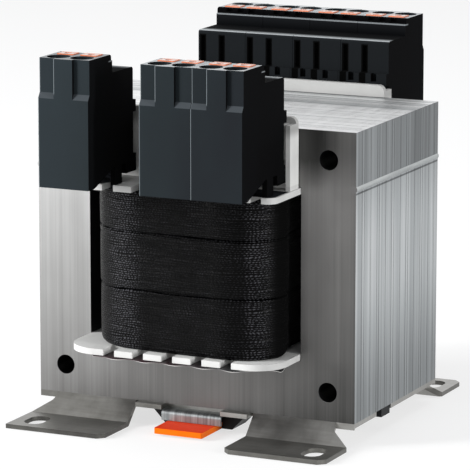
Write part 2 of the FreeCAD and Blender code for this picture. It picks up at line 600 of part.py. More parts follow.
def make_clip_body():
    front = f"-1 * ({RAIL_HALF} + dims.rail_play + dims.clip_block)"
    front_inner = f"-1 * ({RAIL_HALF} + dims.rail_play)"
    rear_inner = f"({RAIL_HALF} + dims.rail_play)"
    rear = f"({RAIL_HALF} + dims.rail_play + dims.hook_block)"
    grip = f"({RAIL_HALF} - dims.hook_grip)"
    body = new_body("rail_clip_section")
    side_profile(body, "Pad", "clip_section", "0", "2 * dims.clip_top_half", [
        (front, "dims.clip_foot"), (front_inner, "dims.clip_foot"), (front_inner, "dims.rail_seat"),
        (rear_inner, "dims.rail_seat"), (rear_inner, LATCH_TOP), (grip, LATCH_TOP), (grip, LATCH_FOOT),
        (rear, "dims.clip_foot"), (rear, "dims.foot_drop"), (front, "dims.foot_drop")])
    channel = f"(dims.latch_width / 2 - dims.latch_wing + dims.guide_play)"
    groove = f"(dims.latch_width / 2 + dims.guide_play)"
    wing_foot = f"({LATCH_TOP} - dims.latch_wing_thickness - dims.guide_play)"
    latch_roof = f"({LATCH_TOP} + dims.guide_play)"
    guide_middle = f"({RAIL_HALF} + dims.rail_play + dims.clip_block / 2)"
    guide = new_sketch(body, "XZ_Plane", "clip_guide", guide_middle)
    add_polygon(guide, [
        (f"-1 * {channel}", "dims.clip_foot - 1"), (channel, "dims.clip_foot - 1"),
        (channel, wing_foot), (groove, wing_foot), (groove, latch_roof), (f"-1 * {groove}", latch_roof),
        (f"-1 * {groove}", wing_foot), (f"-1 * {channel}", wing_foot)])
    add_feature(body, "Pocket", guide, "dims.clip_block + 1", symmetric=True)
    spring_slot = f"(dims.clip_spring_half + 0.1)"
    box_between(body, "Pocket", "clip_spring_seat", (f"-1 * {spring_slot}", spring_slot),
                (f"{front} - 1", f"{front} + dims.clip_block / 2 + 0.05"),
                ("dims.foot_drop - dims.clip_spring_sheet - 0.05", "dims.foot_drop + 1"))
    flanks = new_body("rail_clip_flanks")
    sketch = new_sketch(flanks, "XZ_Plane", "clip_front_view")
    add_polygon(sketch, [
        ("-1 * dims.clip_foot_half", "dims.clip_foot"), ("dims.clip_foot_half", "dims.clip_foot"),
        ("dims.clip_top_half", "dims.foot_drop"), ("-1 * dims.clip_top_half", "dims.foot_drop")])
    add_feature(flanks, "Pad", sketch, "dims.rail_width * 2", symmetric=True)
    block = doc.addObject("Part::Common", "rail_clip_block")
    block.Base = body
    block.Tool = flanks
    arms = new_body("rail_clip_arms")
    arm_rear = "(dims.side_notch_width - dims.side_notch_front - 0.1)"
    tip = f"({CORE_SIDE} - 0.3)"
    inner = f"({CORE_SIDE} - dims.side_notch_depth + 0.1)"
    arm = new_sketch(arms, "XZ_Plane", "clip_arm", f"-1 * {arm_rear}")
    add_polygon(arm, [
        (f"-1 * {tip}", "dims.foot_drop - dims.arm_thickness"), (tip, "dims.foot_drop - dims.arm_thickness"),
        (tip, f"{PLATE_TOP} - 0.1"), (inner, f"{PLATE_TOP} - 0.1"), (inner, "dims.foot_drop"),
        (f"-1 * {inner}", "dims.foot_drop"), (f"-1 * {inner}", f"{PLATE_TOP} - 0.1"),
        (f"-1 * {tip}", f"{PLATE_TOP} - 0.1")])
    add_feature(arms, "Pad", arm, "dims.arm_width")
    clip = doc.addObject("Part::Fuse", "rail_clip_body")
    clip.Base = block
    clip.Tool = arms
    clip.Refine = True
    return keep(clip, "rail_clip_body")


def make_clip_spring():
    """Strip that runs forward under the bracket and folds down onto the latch."""
    body = new_body("clip_spring")
    rear = f"-1 * ({RAIL_HALF} + dims.rail_play + dims.clip_block / 2)"
    top = "dims.foot_drop"
    under = "dims.foot_drop - dims.clip_spring_sheet"
    foot = f"{LATCH_TOP} + 0.15"
    front = "-1 * dims.clip_spring_front"
    inner = "-1 * (dims.clip_spring_front - dims.clip_spring_sheet)"
    side_profile(body, "Pad", "spring_section", "0", "2 * dims.clip_spring_half", [
        (rear, under), (rear, top), (front, top), (front, foot), (inner, foot), (inner, under)])

    def bend(middle, direction):
        return along(direction, V(1, 0, 0)) and near(middle.y, front) and near(middle.z, top)

    def inner_bend(middle, direction):
        return along(direction, V(1, 0, 0)) and near(middle.y, inner) and near(middle.z, under)

    dress_edges(body, "Fillet", "spring_bend", "Radius", "2.4 * dims.clip_spring_sheet", bend)
    dress_edges(body, "Fillet", "spring_inner_bend", "Radius", "1.4 * dims.clip_spring_sheet", inner_bend)
    return keep(body, "clip_spring")


def make_latch():
    """Pull latch: a full-width grip in front, guided wings in the clip, a bevelled tip at the rail."""
    body = new_body("rail_latch")
    block_front = f"-1 * ({RAIL_HALF} + dims.rail_play + dims.clip_block + 0.3)"
    tip = f"-1 * ({RAIL_HALF} - dims.hook_grip)"
    side_profile(body, "Pad", "latch_grip", "0", "dims.latch_width", [
        ("-1 * dims.latch_front", LATCH_FOOT), (block_front, LATCH_FOOT),
        (block_front, LATCH_TOP), ("-1 * dims.latch_front", LATCH_TOP)])
    side_profile(body, "Pad", "latch_slide", "0", "dims.latch_width - 2 * dims.latch_wing", [
        (block_front, LATCH_FOOT), (f"{tip} - dims.latch_thickness", LATCH_FOOT),
        (tip, f"{LATCH_TOP} - 0.3"), (tip, LATCH_TOP), (block_front, LATCH_TOP)])
    side_profile(body, "Pad", "latch_wings", "0", "dims.latch_width", [
        (block_front, f"{LATCH_TOP} - dims.latch_wing_thickness"),
        (f"{tip} - 2 * dims.latch_thickness", f"{LATCH_TOP} - dims.latch_wing_thickness"),
        (f"{tip} - 2 * dims.latch_thickness", LATCH_TOP), (block_front, LATCH_TOP)])

    def grip_corner(middle, direction):
        return along(direction, V(0, 0, 1)) and near(middle.y, "-1 * dims.latch_front")

    dress_edges(body, "Fillet", "latch_corners", "Radius", "0.5", grip_corner)
    return keep(body, "rail_latch")


# Bobbin. One moulding: square tube, two toothed flanges, upright carrier walls with posts.

def make_bobbin():
    body = new_body("bobbin")
    tube = new_sketch(body, "XY_Plane", "bobbin_tube", LOW_FLANGE_FOOT)
    add_round_rectangle(tube, TUBE_HALF_X, TUBE_HALF_Y, "dims.tube_corner")
    add_feature(body, "Pad", tube, f"{HIGH_FLANGE_TOP} - {LOW_FLANGE_FOOT}")
    for level, foot, gaps_aside in (("low", LOW_FLANGE_FOOT, 2), ("high", HIGH_FLANGE_FOOT, 3)):
        plate = new_sketch(body, "XY_Plane", f"flange_{level}", foot)
        add_round_rectangle(plate, FLANGE_SIDE, FLANGE_HALF, f"dims.{level}_flange_corner")
        add_feature(body, "Pad", plate, "dims.flange")
        gaps = new_sketch(body, "XY_Plane", f"flange_gaps_{level}", foot)
        for way in (-1, 1):
            for step in range(-gaps_aside, gaps_aside + 1):
                ends = sorted([f"{way} * ({FLANGE_HALF} - dims.tooth_length)",
                               f"{way} * ({FLANGE_HALF} + 1)"], key=number)
                add_rectangle(gaps, f"{step} * {TOOTH_PITCH} - dims.tooth_gap / 2",
                              f"{step} * {TOOTH_PITCH} + dims.tooth_gap / 2", ends[0], ends[1])
        add_feature(body, "Pocket", gaps, "dims.flange", back=True)
    opening = new_sketch(body, "XY_Plane", "bobbin_opening")
    add_rectangle(opening, f"-1 * ({LIMB_HALF} + dims.bobbin_play)", f"{LIMB_HALF} + dims.bobbin_play",
                  f"-1 * ({CORE_FACE} + dims.bobbin_play)", f"{CORE_FACE} + dims.bobbin_play")
    add_feature(body, "Pocket", opening)
    for end, way in (("front", 1), ("rear", -1)):
        wall = new_sketch(body, "XZ_Plane", f"carrier_{end}",
                          f"{way} * {CARRIER_OUTER}" if way > 0 else f"{way} * {CARRIER_INNER}")
        add_rectangle(wall, f"-1 * {CARRIER_HALF}", CARRIER_HALF,
                      f"{HIGH_FLANGE_TOP} - dims.flange / 2", CARRIER_TOP)
        add_feature(body, "Pad", wall, "dims.carrier_wall", back=True)
        for sign in (-1, 1):
            cheek_ends = sorted([f"{-way} * ({CARRIER_OUTER} - dims.carrier_wall / 2)",
                                 f"{-way} * ({CARRIER_OUTER} + dims.cheek_reach)"], key=number)
            cheek_inner = f"({CARRIER_HALF} - dims.cheek_wall)"
            rib_outer = f"({cheek_inner} - dims.cheek_gap)"
            for part, outer, inner, foot in (
                    ("cheek", CARRIER_HALF, cheek_inner, f"({HIGH_FLANGE_TOP} - dims.flange / 2)"),
                    ("rib", rib_outer, f"({rib_outer} - dims.cheek_rib)", CHEEK_RIB_FOOT)):
                across = sorted([f"{sign} * {outer}", f"{sign} * {inner}"], key=number)
                box_between(body, "Pad", f"{part}_{end}_{'left' if sign < 0 else 'right'}", across,
                            cheek_ends, (foot, CHEEK_TOP))
        for place in (-1.5, -0.5, 0.5, 1.5):
            centre = f"({place} * dims.module_pitch)"
            ends = sorted([f"{-way} * ({CARRIER_OUTER} - 0.5)",
                           f"{-way} * {DOCK_END}"], key=number)
            mark = int(place * 2 + 3) // 2 + 1
            box_between(body, "Pad", f"dock_{end}_{mark}",
                        (f"{centre} - dims.dock_half", f"{centre} + dims.dock_half"),
                        ends, (DOCK_FOOT, DOCK_TOP))

    def wall_corner(middle, direction):
        return along(direction, V(0, 1, 0)) and near(middle.z, CARRIER_TOP)

    dress_edges(body, "Fillet", "carrier_corners", "Radius", "dims.carrier_corner", wall_corner)
    return keep(body, "bobbin")


# Winding. Layers lie one over the other on the bobbin tube. They build up more over its ends, where
# the wire bends, than along its sides.

def make_layer(name, start, build, foot, top, edge=None):
    """Closed ring around the tube, from one distance off the tube to the next."""
    body = new_body(name)
    sketch = new_sketch(body, "XY_Plane", f"{name}_ring", foot)
    for offset in (f"({start} + {build})", start):
        swell = f"({offset} * dims.end_swell)"
        add_round_rectangle(sketch, f"({TUBE_HALF_X} + {offset})", f"({TUBE_HALF_Y} + {swell})",
                            f"(dims.tube_corner + {swell})")
    add_feature(body, "Pad", sketch, f"{top} - {foot}")
    if edge is not None:
        doc.recompute()
        base = body.Tip
        reach = number(f"{TUBE_HALF_X} + {start} + {build}")
        depth = number(f"{TUBE_HALF_Y} + ({start} + {build}) * dims.end_swell")
        names = []
        for index, rim in enumerate(base.Shape.Edges, start=1):
            box = rim.BoundBox
            side_rim = max(abs(box.XMin), abs(box.XMax)) > reach - 1e-3
            end_rim = max(abs(box.YMin), abs(box.YMax)) > depth - 1e-3
            if box.ZLength < 1e-6 and (side_rim or end_rim):
                names.append(f"Edge{index}")
        feature = body.newObject("PartDesign::Chamfer", f"{name}_edge")
        feature.Base = (base, names)
        feature.setExpression("Size", edge)
    return keep(body, name)


def make_windings():
    start = "dims.layer_play"
    for name, build in (("primary_winding", PRIMARY_BUILD), ("barrier_foil", "dims.barrier_build"),
                        ("secondary_winding", SECONDARY_BUILD), ("wrap_foil", "dims.wrap_build")):
        make_layer(name, start, build, WINDING_FOOT, WINDING_TOP)
        start = f"({start} + {build} + dims.layer_play)"
    bands = (("tape_band_lower", WINDING_FOOT, f"({TAPE_SEAM_LOW} - dims.layer_play)"),
             ("tape_band_middle", TAPE_SEAM_LOW, f"({TAPE_SEAM_HIGH} - dims.layer_play)"),
             ("tape_band_upper", TAPE_SEAM_HIGH, WINDING_TOP))
    for name, low, high in bands:
        make_layer(name, start, "dims.tape_build", low, high, "dims.tape_edge")


def make_slot_foils():
    """Thin foil between the lower flange and the yoke, shown where it looks out of the window."""
    for end, way in (("front", -1), ("rear", 1)):
        body = new_body(f"slot_foil_{end}")
        side = f"({FLANGE_SIDE} - dims.slot_foil_inset)"
        front_edge = f"({FLANGE_HALF} + dims.slot_foil_reach)"
        ends = sorted([f"{way} * ({CORE_FACE} + dims.layer_play)", f"{way} * {front_edge}"], key=number)
        box_between(body, "Pad", f"foil_{end}", (f"-1 * {side}", side), ends,
                    (f"{LOW_FLANGE_FOOT} - dims.slot_foil - dims.layer_play",
                     f"{LOW_FLANGE_FOOT} - dims.layer_play"))

        def outer_corner(middle, direction):
            return along(direction, V(0, 0, 1)) and near(abs(middle.y), front_edge)

        dress_edges(body, "Fillet", f"foil_corner_{end}", "Radius", "dims.low_flange_corner", outer_corner)
        keep(body, f"slot_foil_{end}")


# Terminals. One two-pole housing is drawn for the front; every place in a row gets a copy.

def front(distance):
    """Y of a front piece that lies this far from the middle plane."""
    return f"-1 * ({distance})"


def drill(body, name, x, foot, height, radius):
    """Upright round cut at a wire passage."""
    cut = body.newObject("PartDesign::SubtractiveCylinder", name)
    cut.setExpression("Radius", radius)
    cut.setExpression("Height", height)
    cut.setExpression("Placement.Base.x", x)
    cut.setExpression("Placement.Base.y", front(ENTRY_CENTRE))
    cut.setExpression("Placement.Base.z", foot)
    return cut


def make_housing_master():
    body = new_body("terminal_housing")
    set_back = f"({TOWER_REAR} + dims.tower_set_back)"
    nub = "(dims.block_rear - dims.hook_reach)"
    profile = [
        ("dims.block_front", "dims.block_foot"), ("dims.block_front", "dims.block_top"),
        (set_back, "dims.block_top"), (set_back, TOWER_LEDGE),
        (TOWER_REAR, TOWER_LEDGE), (TOWER_REAR, SHELF_TOP),
        ("dims.block_rear", SHELF_TOP), ("dims.block_rear", "dims.nub_top"),
        (nub, "dims.nub_top"), (nub, "dims.nub_foot"),
        ("dims.block_rear", "dims.nub_foot"), ("dims.block_rear", "dims.lower_nub_top"),
        (nub, "dims.lower_nub_top"), (nub, "dims.hook_foot"),
        (HOOK_FRONT, "dims.hook_foot"), (HOOK_FRONT, "dims.belly_top"),
        (BELLY_REAR, "dims.belly_top"), (BELLY_FRONT, "dims.block_foot")]
    side_profile(body, "Pad", "housing_section", "0", "dims.module_width",
                 [(front(a), b) for a, b in profile])

    def upper_edge(middle, direction):
        tower = near(middle.y, front(set_back)) and near(middle.z, "dims.block_top")
        shelf = near(middle.y, front("dims.block_rear")) and near(middle.z, SHELF_TOP)
        return along(direction, V(1, 0, 0)) and (tower or shelf)

    dress_edges(body, "Fillet", "housing_round", "Radius", "dims.edge_round", upper_edge)

    dock_end = "dims.block_rear + dims.dock_plug"
    dock_mouth = "dims.block_rear - dims.dock_plug"
    side_profile(body, "Pocket", "dock_pocket", "0", "2 * (dims.dock_half + dims.dock_play)", [
        (front(dock_end), "dims.lower_nub_top"), (front(dock_mouth), "dims.lower_nub_top"),
        (front(dock_mouth), "dims.nub_foot"), (front(dock_end), "dims.nub_foot")])
    for side, sign in (("left", -1), ("right", 1)):
        side_profile(body, "Pocket", f"nub_gap_{side}", f"({sign} * dims.pole_offset)", "dims.nub_gap", [
            (front("dims.block_rear"), "dims.nub_foot + 1"),
            (front("dims.block_rear - dims.hook_reach - 1"), "dims.nub_foot + 1"),
            (front("dims.block_rear - dims.hook_reach - 1"), "dims.nub_top + 1"),
            (front("dims.block_rear"), "dims.nub_top + 1")])
    recess_width = "(dims.module_width / 2 - dims.rib_half)"
    recess_inner = "(dims.block_front - dims.recess_depth)"
    slope_foot = f"({RECESS_FOOT} - dims.recess_slope)"
    for side, sign in (("left", -1), ("right", 1)):
        recess_centre = f"{sign} * (dims.module_width / 2 + dims.rib_half) / 2"
        side_profile(body, "Pocket", f"recess_{side}", recess_centre, recess_width, [
            (front("(dims.block_front + 1)"), slope_foot), (front("dims.block_front"), slope_foot),
            (front(recess_inner), RECESS_FOOT), (front(recess_inner), "dims.block_top + 1"),
            (front("(dims.block_front + 1)"), "dims.block_top + 1")])
        leg_centre = f"{sign} * (dims.module_width - dims.leg_width) / 2"
        side_profile(body, "Pad", f"leg_{side}", leg_centre, "dims.leg_width", [
            (front("dims.leg_front"), "dims.leg_play"), (front("dims.leg_rear"), "dims.leg_play"),
            (front("dims.leg_rear"), "dims.belly_top + 0.5"),
            (front("dims.leg_front"), "dims.belly_top + 0.5")])
        pole = f"({sign} * dims.pole_offset)"
        side_profile(body, "Pocket", f"chamber_{side}", pole, "dims.chamber_width", [
            (front(CHAMBER_FRONT), "dims.chamber_foot"), (front(CHAMBER_REAR), "dims.chamber_foot"),
            (front(CHAMBER_REAR), CHAMBER_TOP), (front(CHAMBER_FRONT), CHAMBER_TOP)])
        side_profile(body, "Pocket", f"button_pocket_{side}", pole, "dims.button_pocket_width", [
            (front(BUTTON_FRONT), f"{CHAMBER_TOP} - 1"), (front(BUTTON_REAR), f"{CHAMBER_TOP} - 1"),
            (front(BUTTON_REAR), "dims.block_top + 1"), (front(BUTTON_FRONT), "dims.block_top + 1")])
        side_profile(body, "Pocket", f"bar_slot_{side}", pole, "dims.bar_width + 0.2", [
            (front("dims.lead_entry - dims.lead_diameter"), "dims.chamber_foot"),
            (front("dims.lead_entry - dims.lead_diameter"), "dims.chamber_foot + dims.bar_slot"),
            (front(f"{CHAMBER_REAR} + 1"), "dims.chamber_foot + dims.bar_slot"),
            (front(f"{CHAMBER_REAR} + 1"), "dims.chamber_foot")])
        entry_foot = "(dims.block_top - dims.entry_depth)"
        drill(body, f"entry_{side}", pole, entry_foot, "dims.entry_depth + 1", "dims.entry_bore / 2")
        drill(body, f"throat_{side}", pole, f"{entry_foot} - dims.throat_depth", "dims.throat_depth + 0.5",
              "dims.wire_bore / 2")
        lead_space = "(dims.lead_diameter / 2 + 0.15)"
        side_profile(body, "Pocket", f"lead_hole_{side}", pole, f"2 * {lead_space}", [
            (front(f"dims.lead_entry - {lead_space}"), "dims.belly_top - 1"),
            (front(f"dims.lead_entry + {lead_space}"), "dims.belly_top - 1"),
            (front(f"dims.lead_entry + {lead_space}"), "dims.chamber_foot + 0.5"),
            (front(f"dims.lead_entry - {lead_space}"), "dims.chamber_foot + 0.5")])
    slot_rear = f"({set_back} - 1)"
    slot_front = f"({set_back} + dims.test_slot_reach)"
    for step in (-1, 0, 1):
        side_profile(body, "Pocket", f"test_slot_{step + 2}", f"{step} * dims.pole_offset",
                     "dims.test_slot_width", [
                         (front(slot_front), "dims.block_top - dims.test_slot_depth"),
                         (front(slot_rear), "dims.block_top - dims.test_slot_depth"),
                         (front(slot_rear), "dims.block_top + 1"), (front(slot_front), "dims.block_top + 1")])
    for name, place in (("groove_side", "dims.groove_side"), ("groove_middle", "0")):
        side_profile(body, "Pocket", name, place, "dims.groove_width", [
            (front("(dims.block_rear + dims.groove_depth)"), GROOVE_FOOT),
            (front("(dims.block_rear - 1)"), GROOVE_FOOT),
            (front("(dims.block_rear - 1)"), GROOVE_TOP),
            (front("(dims.block_rear + dims.groove_depth)"), GROOVE_TOP)])
    return body


def make_button_master():
    """Release button: a plain head with a driver slot, and a toe that keeps it in its pocket."""
    body = new_body("release_button")
    outer = f"({BUTTON_FRONT} - dims.button_play)"
    inner = f"({BUTTON_REAR} + dims.button_play)"
    toe_top = f"({CHAMBER_TOP} - dims.button_play)"
    toe = f"({outer} + dims.button_toe)"
    head = "(dims.block_top + dims.button_proud)"
    side_profile(body, "Pad", "button_section", "0", "dims.button_pocket_width - 2 * dims.button_play", [
        (front(outer), head), (front(inner), head), (front(inner), BUTTON_FOOT),
        (front(outer), BUTTON_FOOT), (front(toe), f"{toe_top} - dims.button_toe_height"),
        (front(toe), toe_top), (front(outer), toe_top)])
    middle = f"(({outer} + {inner}) / 2)"
    side_profile(body, "Pocket", "driver_slot", "0", "dims.driver_slot_width", [
        (front(f"({middle} + dims.driver_slot_height / 2)"), f"{head} - dims.driver_slot_depth"),
        (front(f"({middle} - dims.driver_slot_height / 2)"), f"{head} - dims.driver_slot_depth"),
        (front(f"({middle} - dims.driver_slot_height / 2)"), f"{head} + 1"),
        (front(f"({middle} + dims.driver_slot_height / 2)"), f"{head} + 1")])
    return body


def make_bar_master():
    """Bent copper strip: upright contact leg in the chamber, flat run back to the lead."""
    body = new_body("contact_bar")
    outer = f"({CHAMBER_FRONT} - dims.clamp_play)"
    foot = "(dims.chamber_foot + dims.clamp_play)"
    lead_end = "(dims.lead_entry - dims.lead_diameter + 2 * dims.clamp_play)"
    head = f"{CHAMBER_TOP} - dims.bar_head"
    side_profile(body, "Pad", "bar_section", "dims.pole_offset", "dims.bar_width", [
        (front(lead_end), foot), (front(lead_end), f"{foot} + dims.bar_sheet"),
        (front(f"({outer} - dims.bar_sheet)"), f"{foot} + dims.bar_sheet"),
        (front(f"({outer} - dims.bar_sheet)"), head),
        (front(outer), head), (front(outer), foot)])

    def heel(middle, direction):
        return along(direction, V(1, 0, 0)) and near(middle.y, front(outer)) and near(middle.z, foot)

    dress_edges(body, "Chamfer", "bar_heel", "Size", "dims.bar_sheet", heel)
    return body


def make_clamp_master():
    """Clamp spring: a strip bent into a loop whose free leg leans against the contact bar."""
    play = number("dims.clamp_play")
    bend = number("dims.clamp_bend")
    foot = number("dims.chamber_foot + dims.bar_sheet + 1.5 * dims.clamp_play")
    rear = number(f"{CHAMBER_REAR} + 3 * dims.clamp_play")
    contact = number(f"{CHAMBER_FRONT} - dims.bar_sheet - 2 * dims.clamp_play")
    crown = number(f"{BUTTON_FOOT} - dims.clamp_crown")
    corners = [
        V(0, -(contact - bend - play), foot), V(0, -(rear + bend), foot), V(0, -rear, foot + bend),
        V(0, -rear, crown - bend), V(0, -(rear + bend), crown), V(0, -(rear + 3 * bend), crown),
        V(0, -(rear + 4 * bend), crown - bend), V(0, -contact, foot + number("dims.clamp_lean")),
    ]
    path = Part.makePolygon(corners)
    section = path.makeOffset2D(-number("dims.clamp_sheet"), 0, True, True)
    spring = doc.addObject("Part::Feature", "clamp_spring")
    spring.Shape = section.extrude(V(number("dims.clamp_width"), 0, 0))
    spring.Placement = FreeCAD.Placement(
        V(number("dims.pole_offset - dims.clamp_width / 2"), 0, 0), FreeCAD.Rotation())
    return spring


def make_pair(name, single):
    """The same piece for both poles of a terminal, as two solids."""
    mirror = doc.addObject("Part::Mirroring", f"{name}_mirror")
    mirror.Source = single
    mirror.Base = V(0, 0, 0)
    mirror.Normal = V(1, 0, 0)
    pair = doc.addObject("Part::Compound", f"{name}_pair")
    pair.Links = [single, mirror]
    return pair


def place_copy(master, name, centre, rear):
    """Copy of a front master at one place of the front row, or turned round for the rear row."""
    copy = doc.addObject("App::Link", name)
    copy.LinkedObject = master
    turn = 180 if rear else 0
    copy.Placement = FreeCAD.Placement(V(0, 0, 0), FreeCAD.Rotation(V(0, 0, 1), turn))
    copy.setExpression("Placement.Base.x", centre)
    copy.setExpression("Placement.Base.y", CARRIER_OUTER if rear else front(CARRIER_OUTER))
    copy.setExpression("Placement.Base.z", HIGH_FLANGE_TOP)
    return keep(copy, name)


def make_leads(name, places, rear):
    """Sleeved leads of one side, two for each terminal, out of the nearest gap in the upper flange."""
    radius = number("dims.lead_diameter") / 2
    pitch = number(TOOTH_PITCH)
    start_y = -number(LEAD_START)
    entry_y = -number(f"{CARRIER_OUTER} + dims.lead_entry")
    start_z = number(f"{HIGH_FLANGE_FOOT} - dims.winding_end_play / 2")
    low_turn = number(f"{HIGH_FLANGE_TOP} + dims.lead_turn")
    high_turn = number(f"{HIGH_FLANGE_TOP} + dims.belly_top - dims.lead_turn")
    end_z = number(f"{HIGH_FLANGE_TOP} + dims.chamber_foot")
    turns = [2 * math.pi * step / LEAD_SIDES for step in range(LEAD_SIDES)]
    solids = []
    for place in places:
        middle = place * number("dims.module_pitch")
        gap = round(middle / pitch) * pitch
        if abs(place) > 1:
            gap = math.copysign(2 * pitch, place)
        for sign in (-1, 1):
            exit_x = gap + sign * (radius + number("dims.layer_play"))
            pole = middle + sign * number("dims.pole_offset")
            points = [V(exit_x, start_y, start_z), V(exit_x, start_y, low_turn),
                      V(pole, entry_y, high_turn), V(pole, entry_y, end_z)]
            rim = [points[0] + V(radius * math.cos(turn), radius * math.sin(turn), 0) for turn in turns]
            section = Part.makePolygon(rim + rim[:1])
            solids.append(Part.makePolygon(points).makePipeShell([section], True, False, 1))
    leads = doc.addObject("Part::Feature", name)
    leads.Shape = Part.Compound(solids)
    if rear:
        leads.Placement = FreeCAD.Placement(V(0, 0, 0), FreeCAD.Rotation(V(0, 0, 1), 180))
    return keep(leads, name)


def make_terminals():
    housing = make_housing_master()
    button = make_button_master()
    bars = make_pair("contact_bars", make_bar_master())
    clamps = make_pair("clamp_springs", make_clamp_master())
    rows = (("primary", (-1.5, 0.5, 1.5), False), ("secondary", (-1.5, -0.5, 0.5, 1.5), True))
    for row_name, places, rear in rows:
        for index, place in enumerate(places, start=1):
            tag = f"{row_name}_{index}"
            centre = f"{place} * dims.module_pitch"
            place_copy(housing, f"terminal_housing_{tag}", centre, rear)
            place_copy(bars, f"contact_bars_{tag}", centre, rear)
            place_copy(clamps, f"clamp_springs_{tag}", centre, rear)
            for side, sign in (("a", -1), ("b", 1)):
                place_copy(button, f"release_button_{tag}{side}",
                           f"{centre} + {sign} * dims.pole_offset", rear)
    make_leads("primary_leads", (-1.5, 0.5, 1.5), False)
    make_leads("secondary_leads", (-1.5, -0.5, 0.5, 1.5), True)


make_core()
make_weld_seams()
make_bracket()
make_clip_body()
make_clip_spring()
make_latch()
make_bobbin()
make_windings()
make_slot_foils()
make_terminals()
doc.recompute()

for item in doc.Objects:
    if "Invalid" in item.State or "Error" in item.State:
        raise RuntimeError(f"{item.Label} did not build: {item.State}")

os.makedirs("parts", exist_ok=True)
for piece in kept:
    shape = Part.getShape(piece)
    if shape.isNull() or not shape.isValid() or not shape.Solids:
        raise RuntimeError(f"{piece.Label} has no valid solid")
    shape.exportStep(f"parts/{piece.Label}.step")
    print(f"{piece.Label}: {len(shape.Solids)} solid, {shape.Volume:.1f} mm3")
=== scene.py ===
import json
import math

import bmesh
import bpy
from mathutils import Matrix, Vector


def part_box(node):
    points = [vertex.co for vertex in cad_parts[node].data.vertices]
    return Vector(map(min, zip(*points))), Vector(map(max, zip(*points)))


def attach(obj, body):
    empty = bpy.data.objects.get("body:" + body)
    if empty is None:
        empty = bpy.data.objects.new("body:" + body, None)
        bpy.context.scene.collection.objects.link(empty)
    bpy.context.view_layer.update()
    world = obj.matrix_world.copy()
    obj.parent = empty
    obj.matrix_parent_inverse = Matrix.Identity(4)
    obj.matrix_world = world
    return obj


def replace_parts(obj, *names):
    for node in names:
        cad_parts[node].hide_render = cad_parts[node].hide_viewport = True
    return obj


# Control transformer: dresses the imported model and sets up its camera, floor and light.
# The scene is in metres, in the row frame: +Z up, +X along the core, primary terminals towards -Y.
# Materials and new meshes are worked out in millimetres.

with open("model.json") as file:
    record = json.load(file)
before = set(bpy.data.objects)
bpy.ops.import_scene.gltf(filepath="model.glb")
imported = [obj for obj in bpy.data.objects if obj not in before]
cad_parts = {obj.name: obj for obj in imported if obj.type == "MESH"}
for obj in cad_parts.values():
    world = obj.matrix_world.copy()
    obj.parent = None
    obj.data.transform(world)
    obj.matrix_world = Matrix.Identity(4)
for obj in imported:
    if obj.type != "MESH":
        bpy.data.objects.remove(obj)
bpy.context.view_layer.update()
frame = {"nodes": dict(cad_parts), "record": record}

MM = 0.001
ROOT = "transformer"

# Core: outline, joint of the E and I stacks, windows, sheets, and bolt holes about the middle of its face.
CORE_HALF_X = 48.0
CORE_HALF_Y = 29.4
CORE_FOOT = 6.5
CORE_TOP = 86.5
CORE_JOINT = 70.5
WINDOW_HALF_X = 32.0
SHEET = 0.5
BOLT_X = 40.0
BOLT_Z = 32.0
BOLT_RADIUS = 2.75

# Terminals: width of one, its outer face, and its two buttons on either side of its middle.
TERMINAL_PITCH = 15.0
TERMINAL_FACE = 61.5
BUTTON_OFF_X = 3.5
BUTTON_Y = 53.6

# Flange teeth, wire, and the tape's rows of thread and the period of its weave along a row.
TOOTH_PITCH = 8.8
TOOTH_SHIFT = 2.2
WIRE = 0.9
TAPE_ROW = 0.58
TAPE_PERIOD = 0.9

# Metallic of the steel pieces, and the range that most noise values lie in.
STEEL = 0.9
NOISE_LOW, NOISE_HIGH = 0.3, 0.7


# ---------------------------------------------------------------- materials

def tone(code):
    """Linear colour of a hex code."""
    parts = [int(code[i:i + 2], 16) / 255 for i in (1, 3, 5)]
    return tuple(p / 12.92 if p <= 0.04045 else ((p + 0.055) / 1.055) ** 2.4 for p in parts) + (1.0,)


class Value:
    """A number or colour inside a material. Arithmetic on it adds nodes; a | b is the larger, ~a is 1 - a."""

    def __init__(self, paint, socket):
        self.paint = paint
        self.socket = socket

    def __add__(self, other):
        return self.paint.math("ADD", self, other)

    def __sub__(self, other):
        return self.paint.math("SUBTRACT", self, other)

    def __rsub__(self, other):
        return self.paint.math("SUBTRACT", other, self)

    def __mul__(self, other):
        return self.paint.math("MULTIPLY", self, other)

    def __truediv__(self, other):
        return self.paint.math("DIVIDE", self, other)

    def __pow__(self, power):
        return self.paint.math("POWER", self, power)

    def __or__(self, other):
        return self.paint.math("MAXIMUM", self, other)

    def __lt__(self, other):
        return self.paint.math("LESS_THAN", self, other)

    def __invert__(self):
        return 1.0 - self

    def __abs__(self):
        return self.paint.math("ABSOLUTE", self)

    __radd__ = __add__
    __rmul__ = __mul__


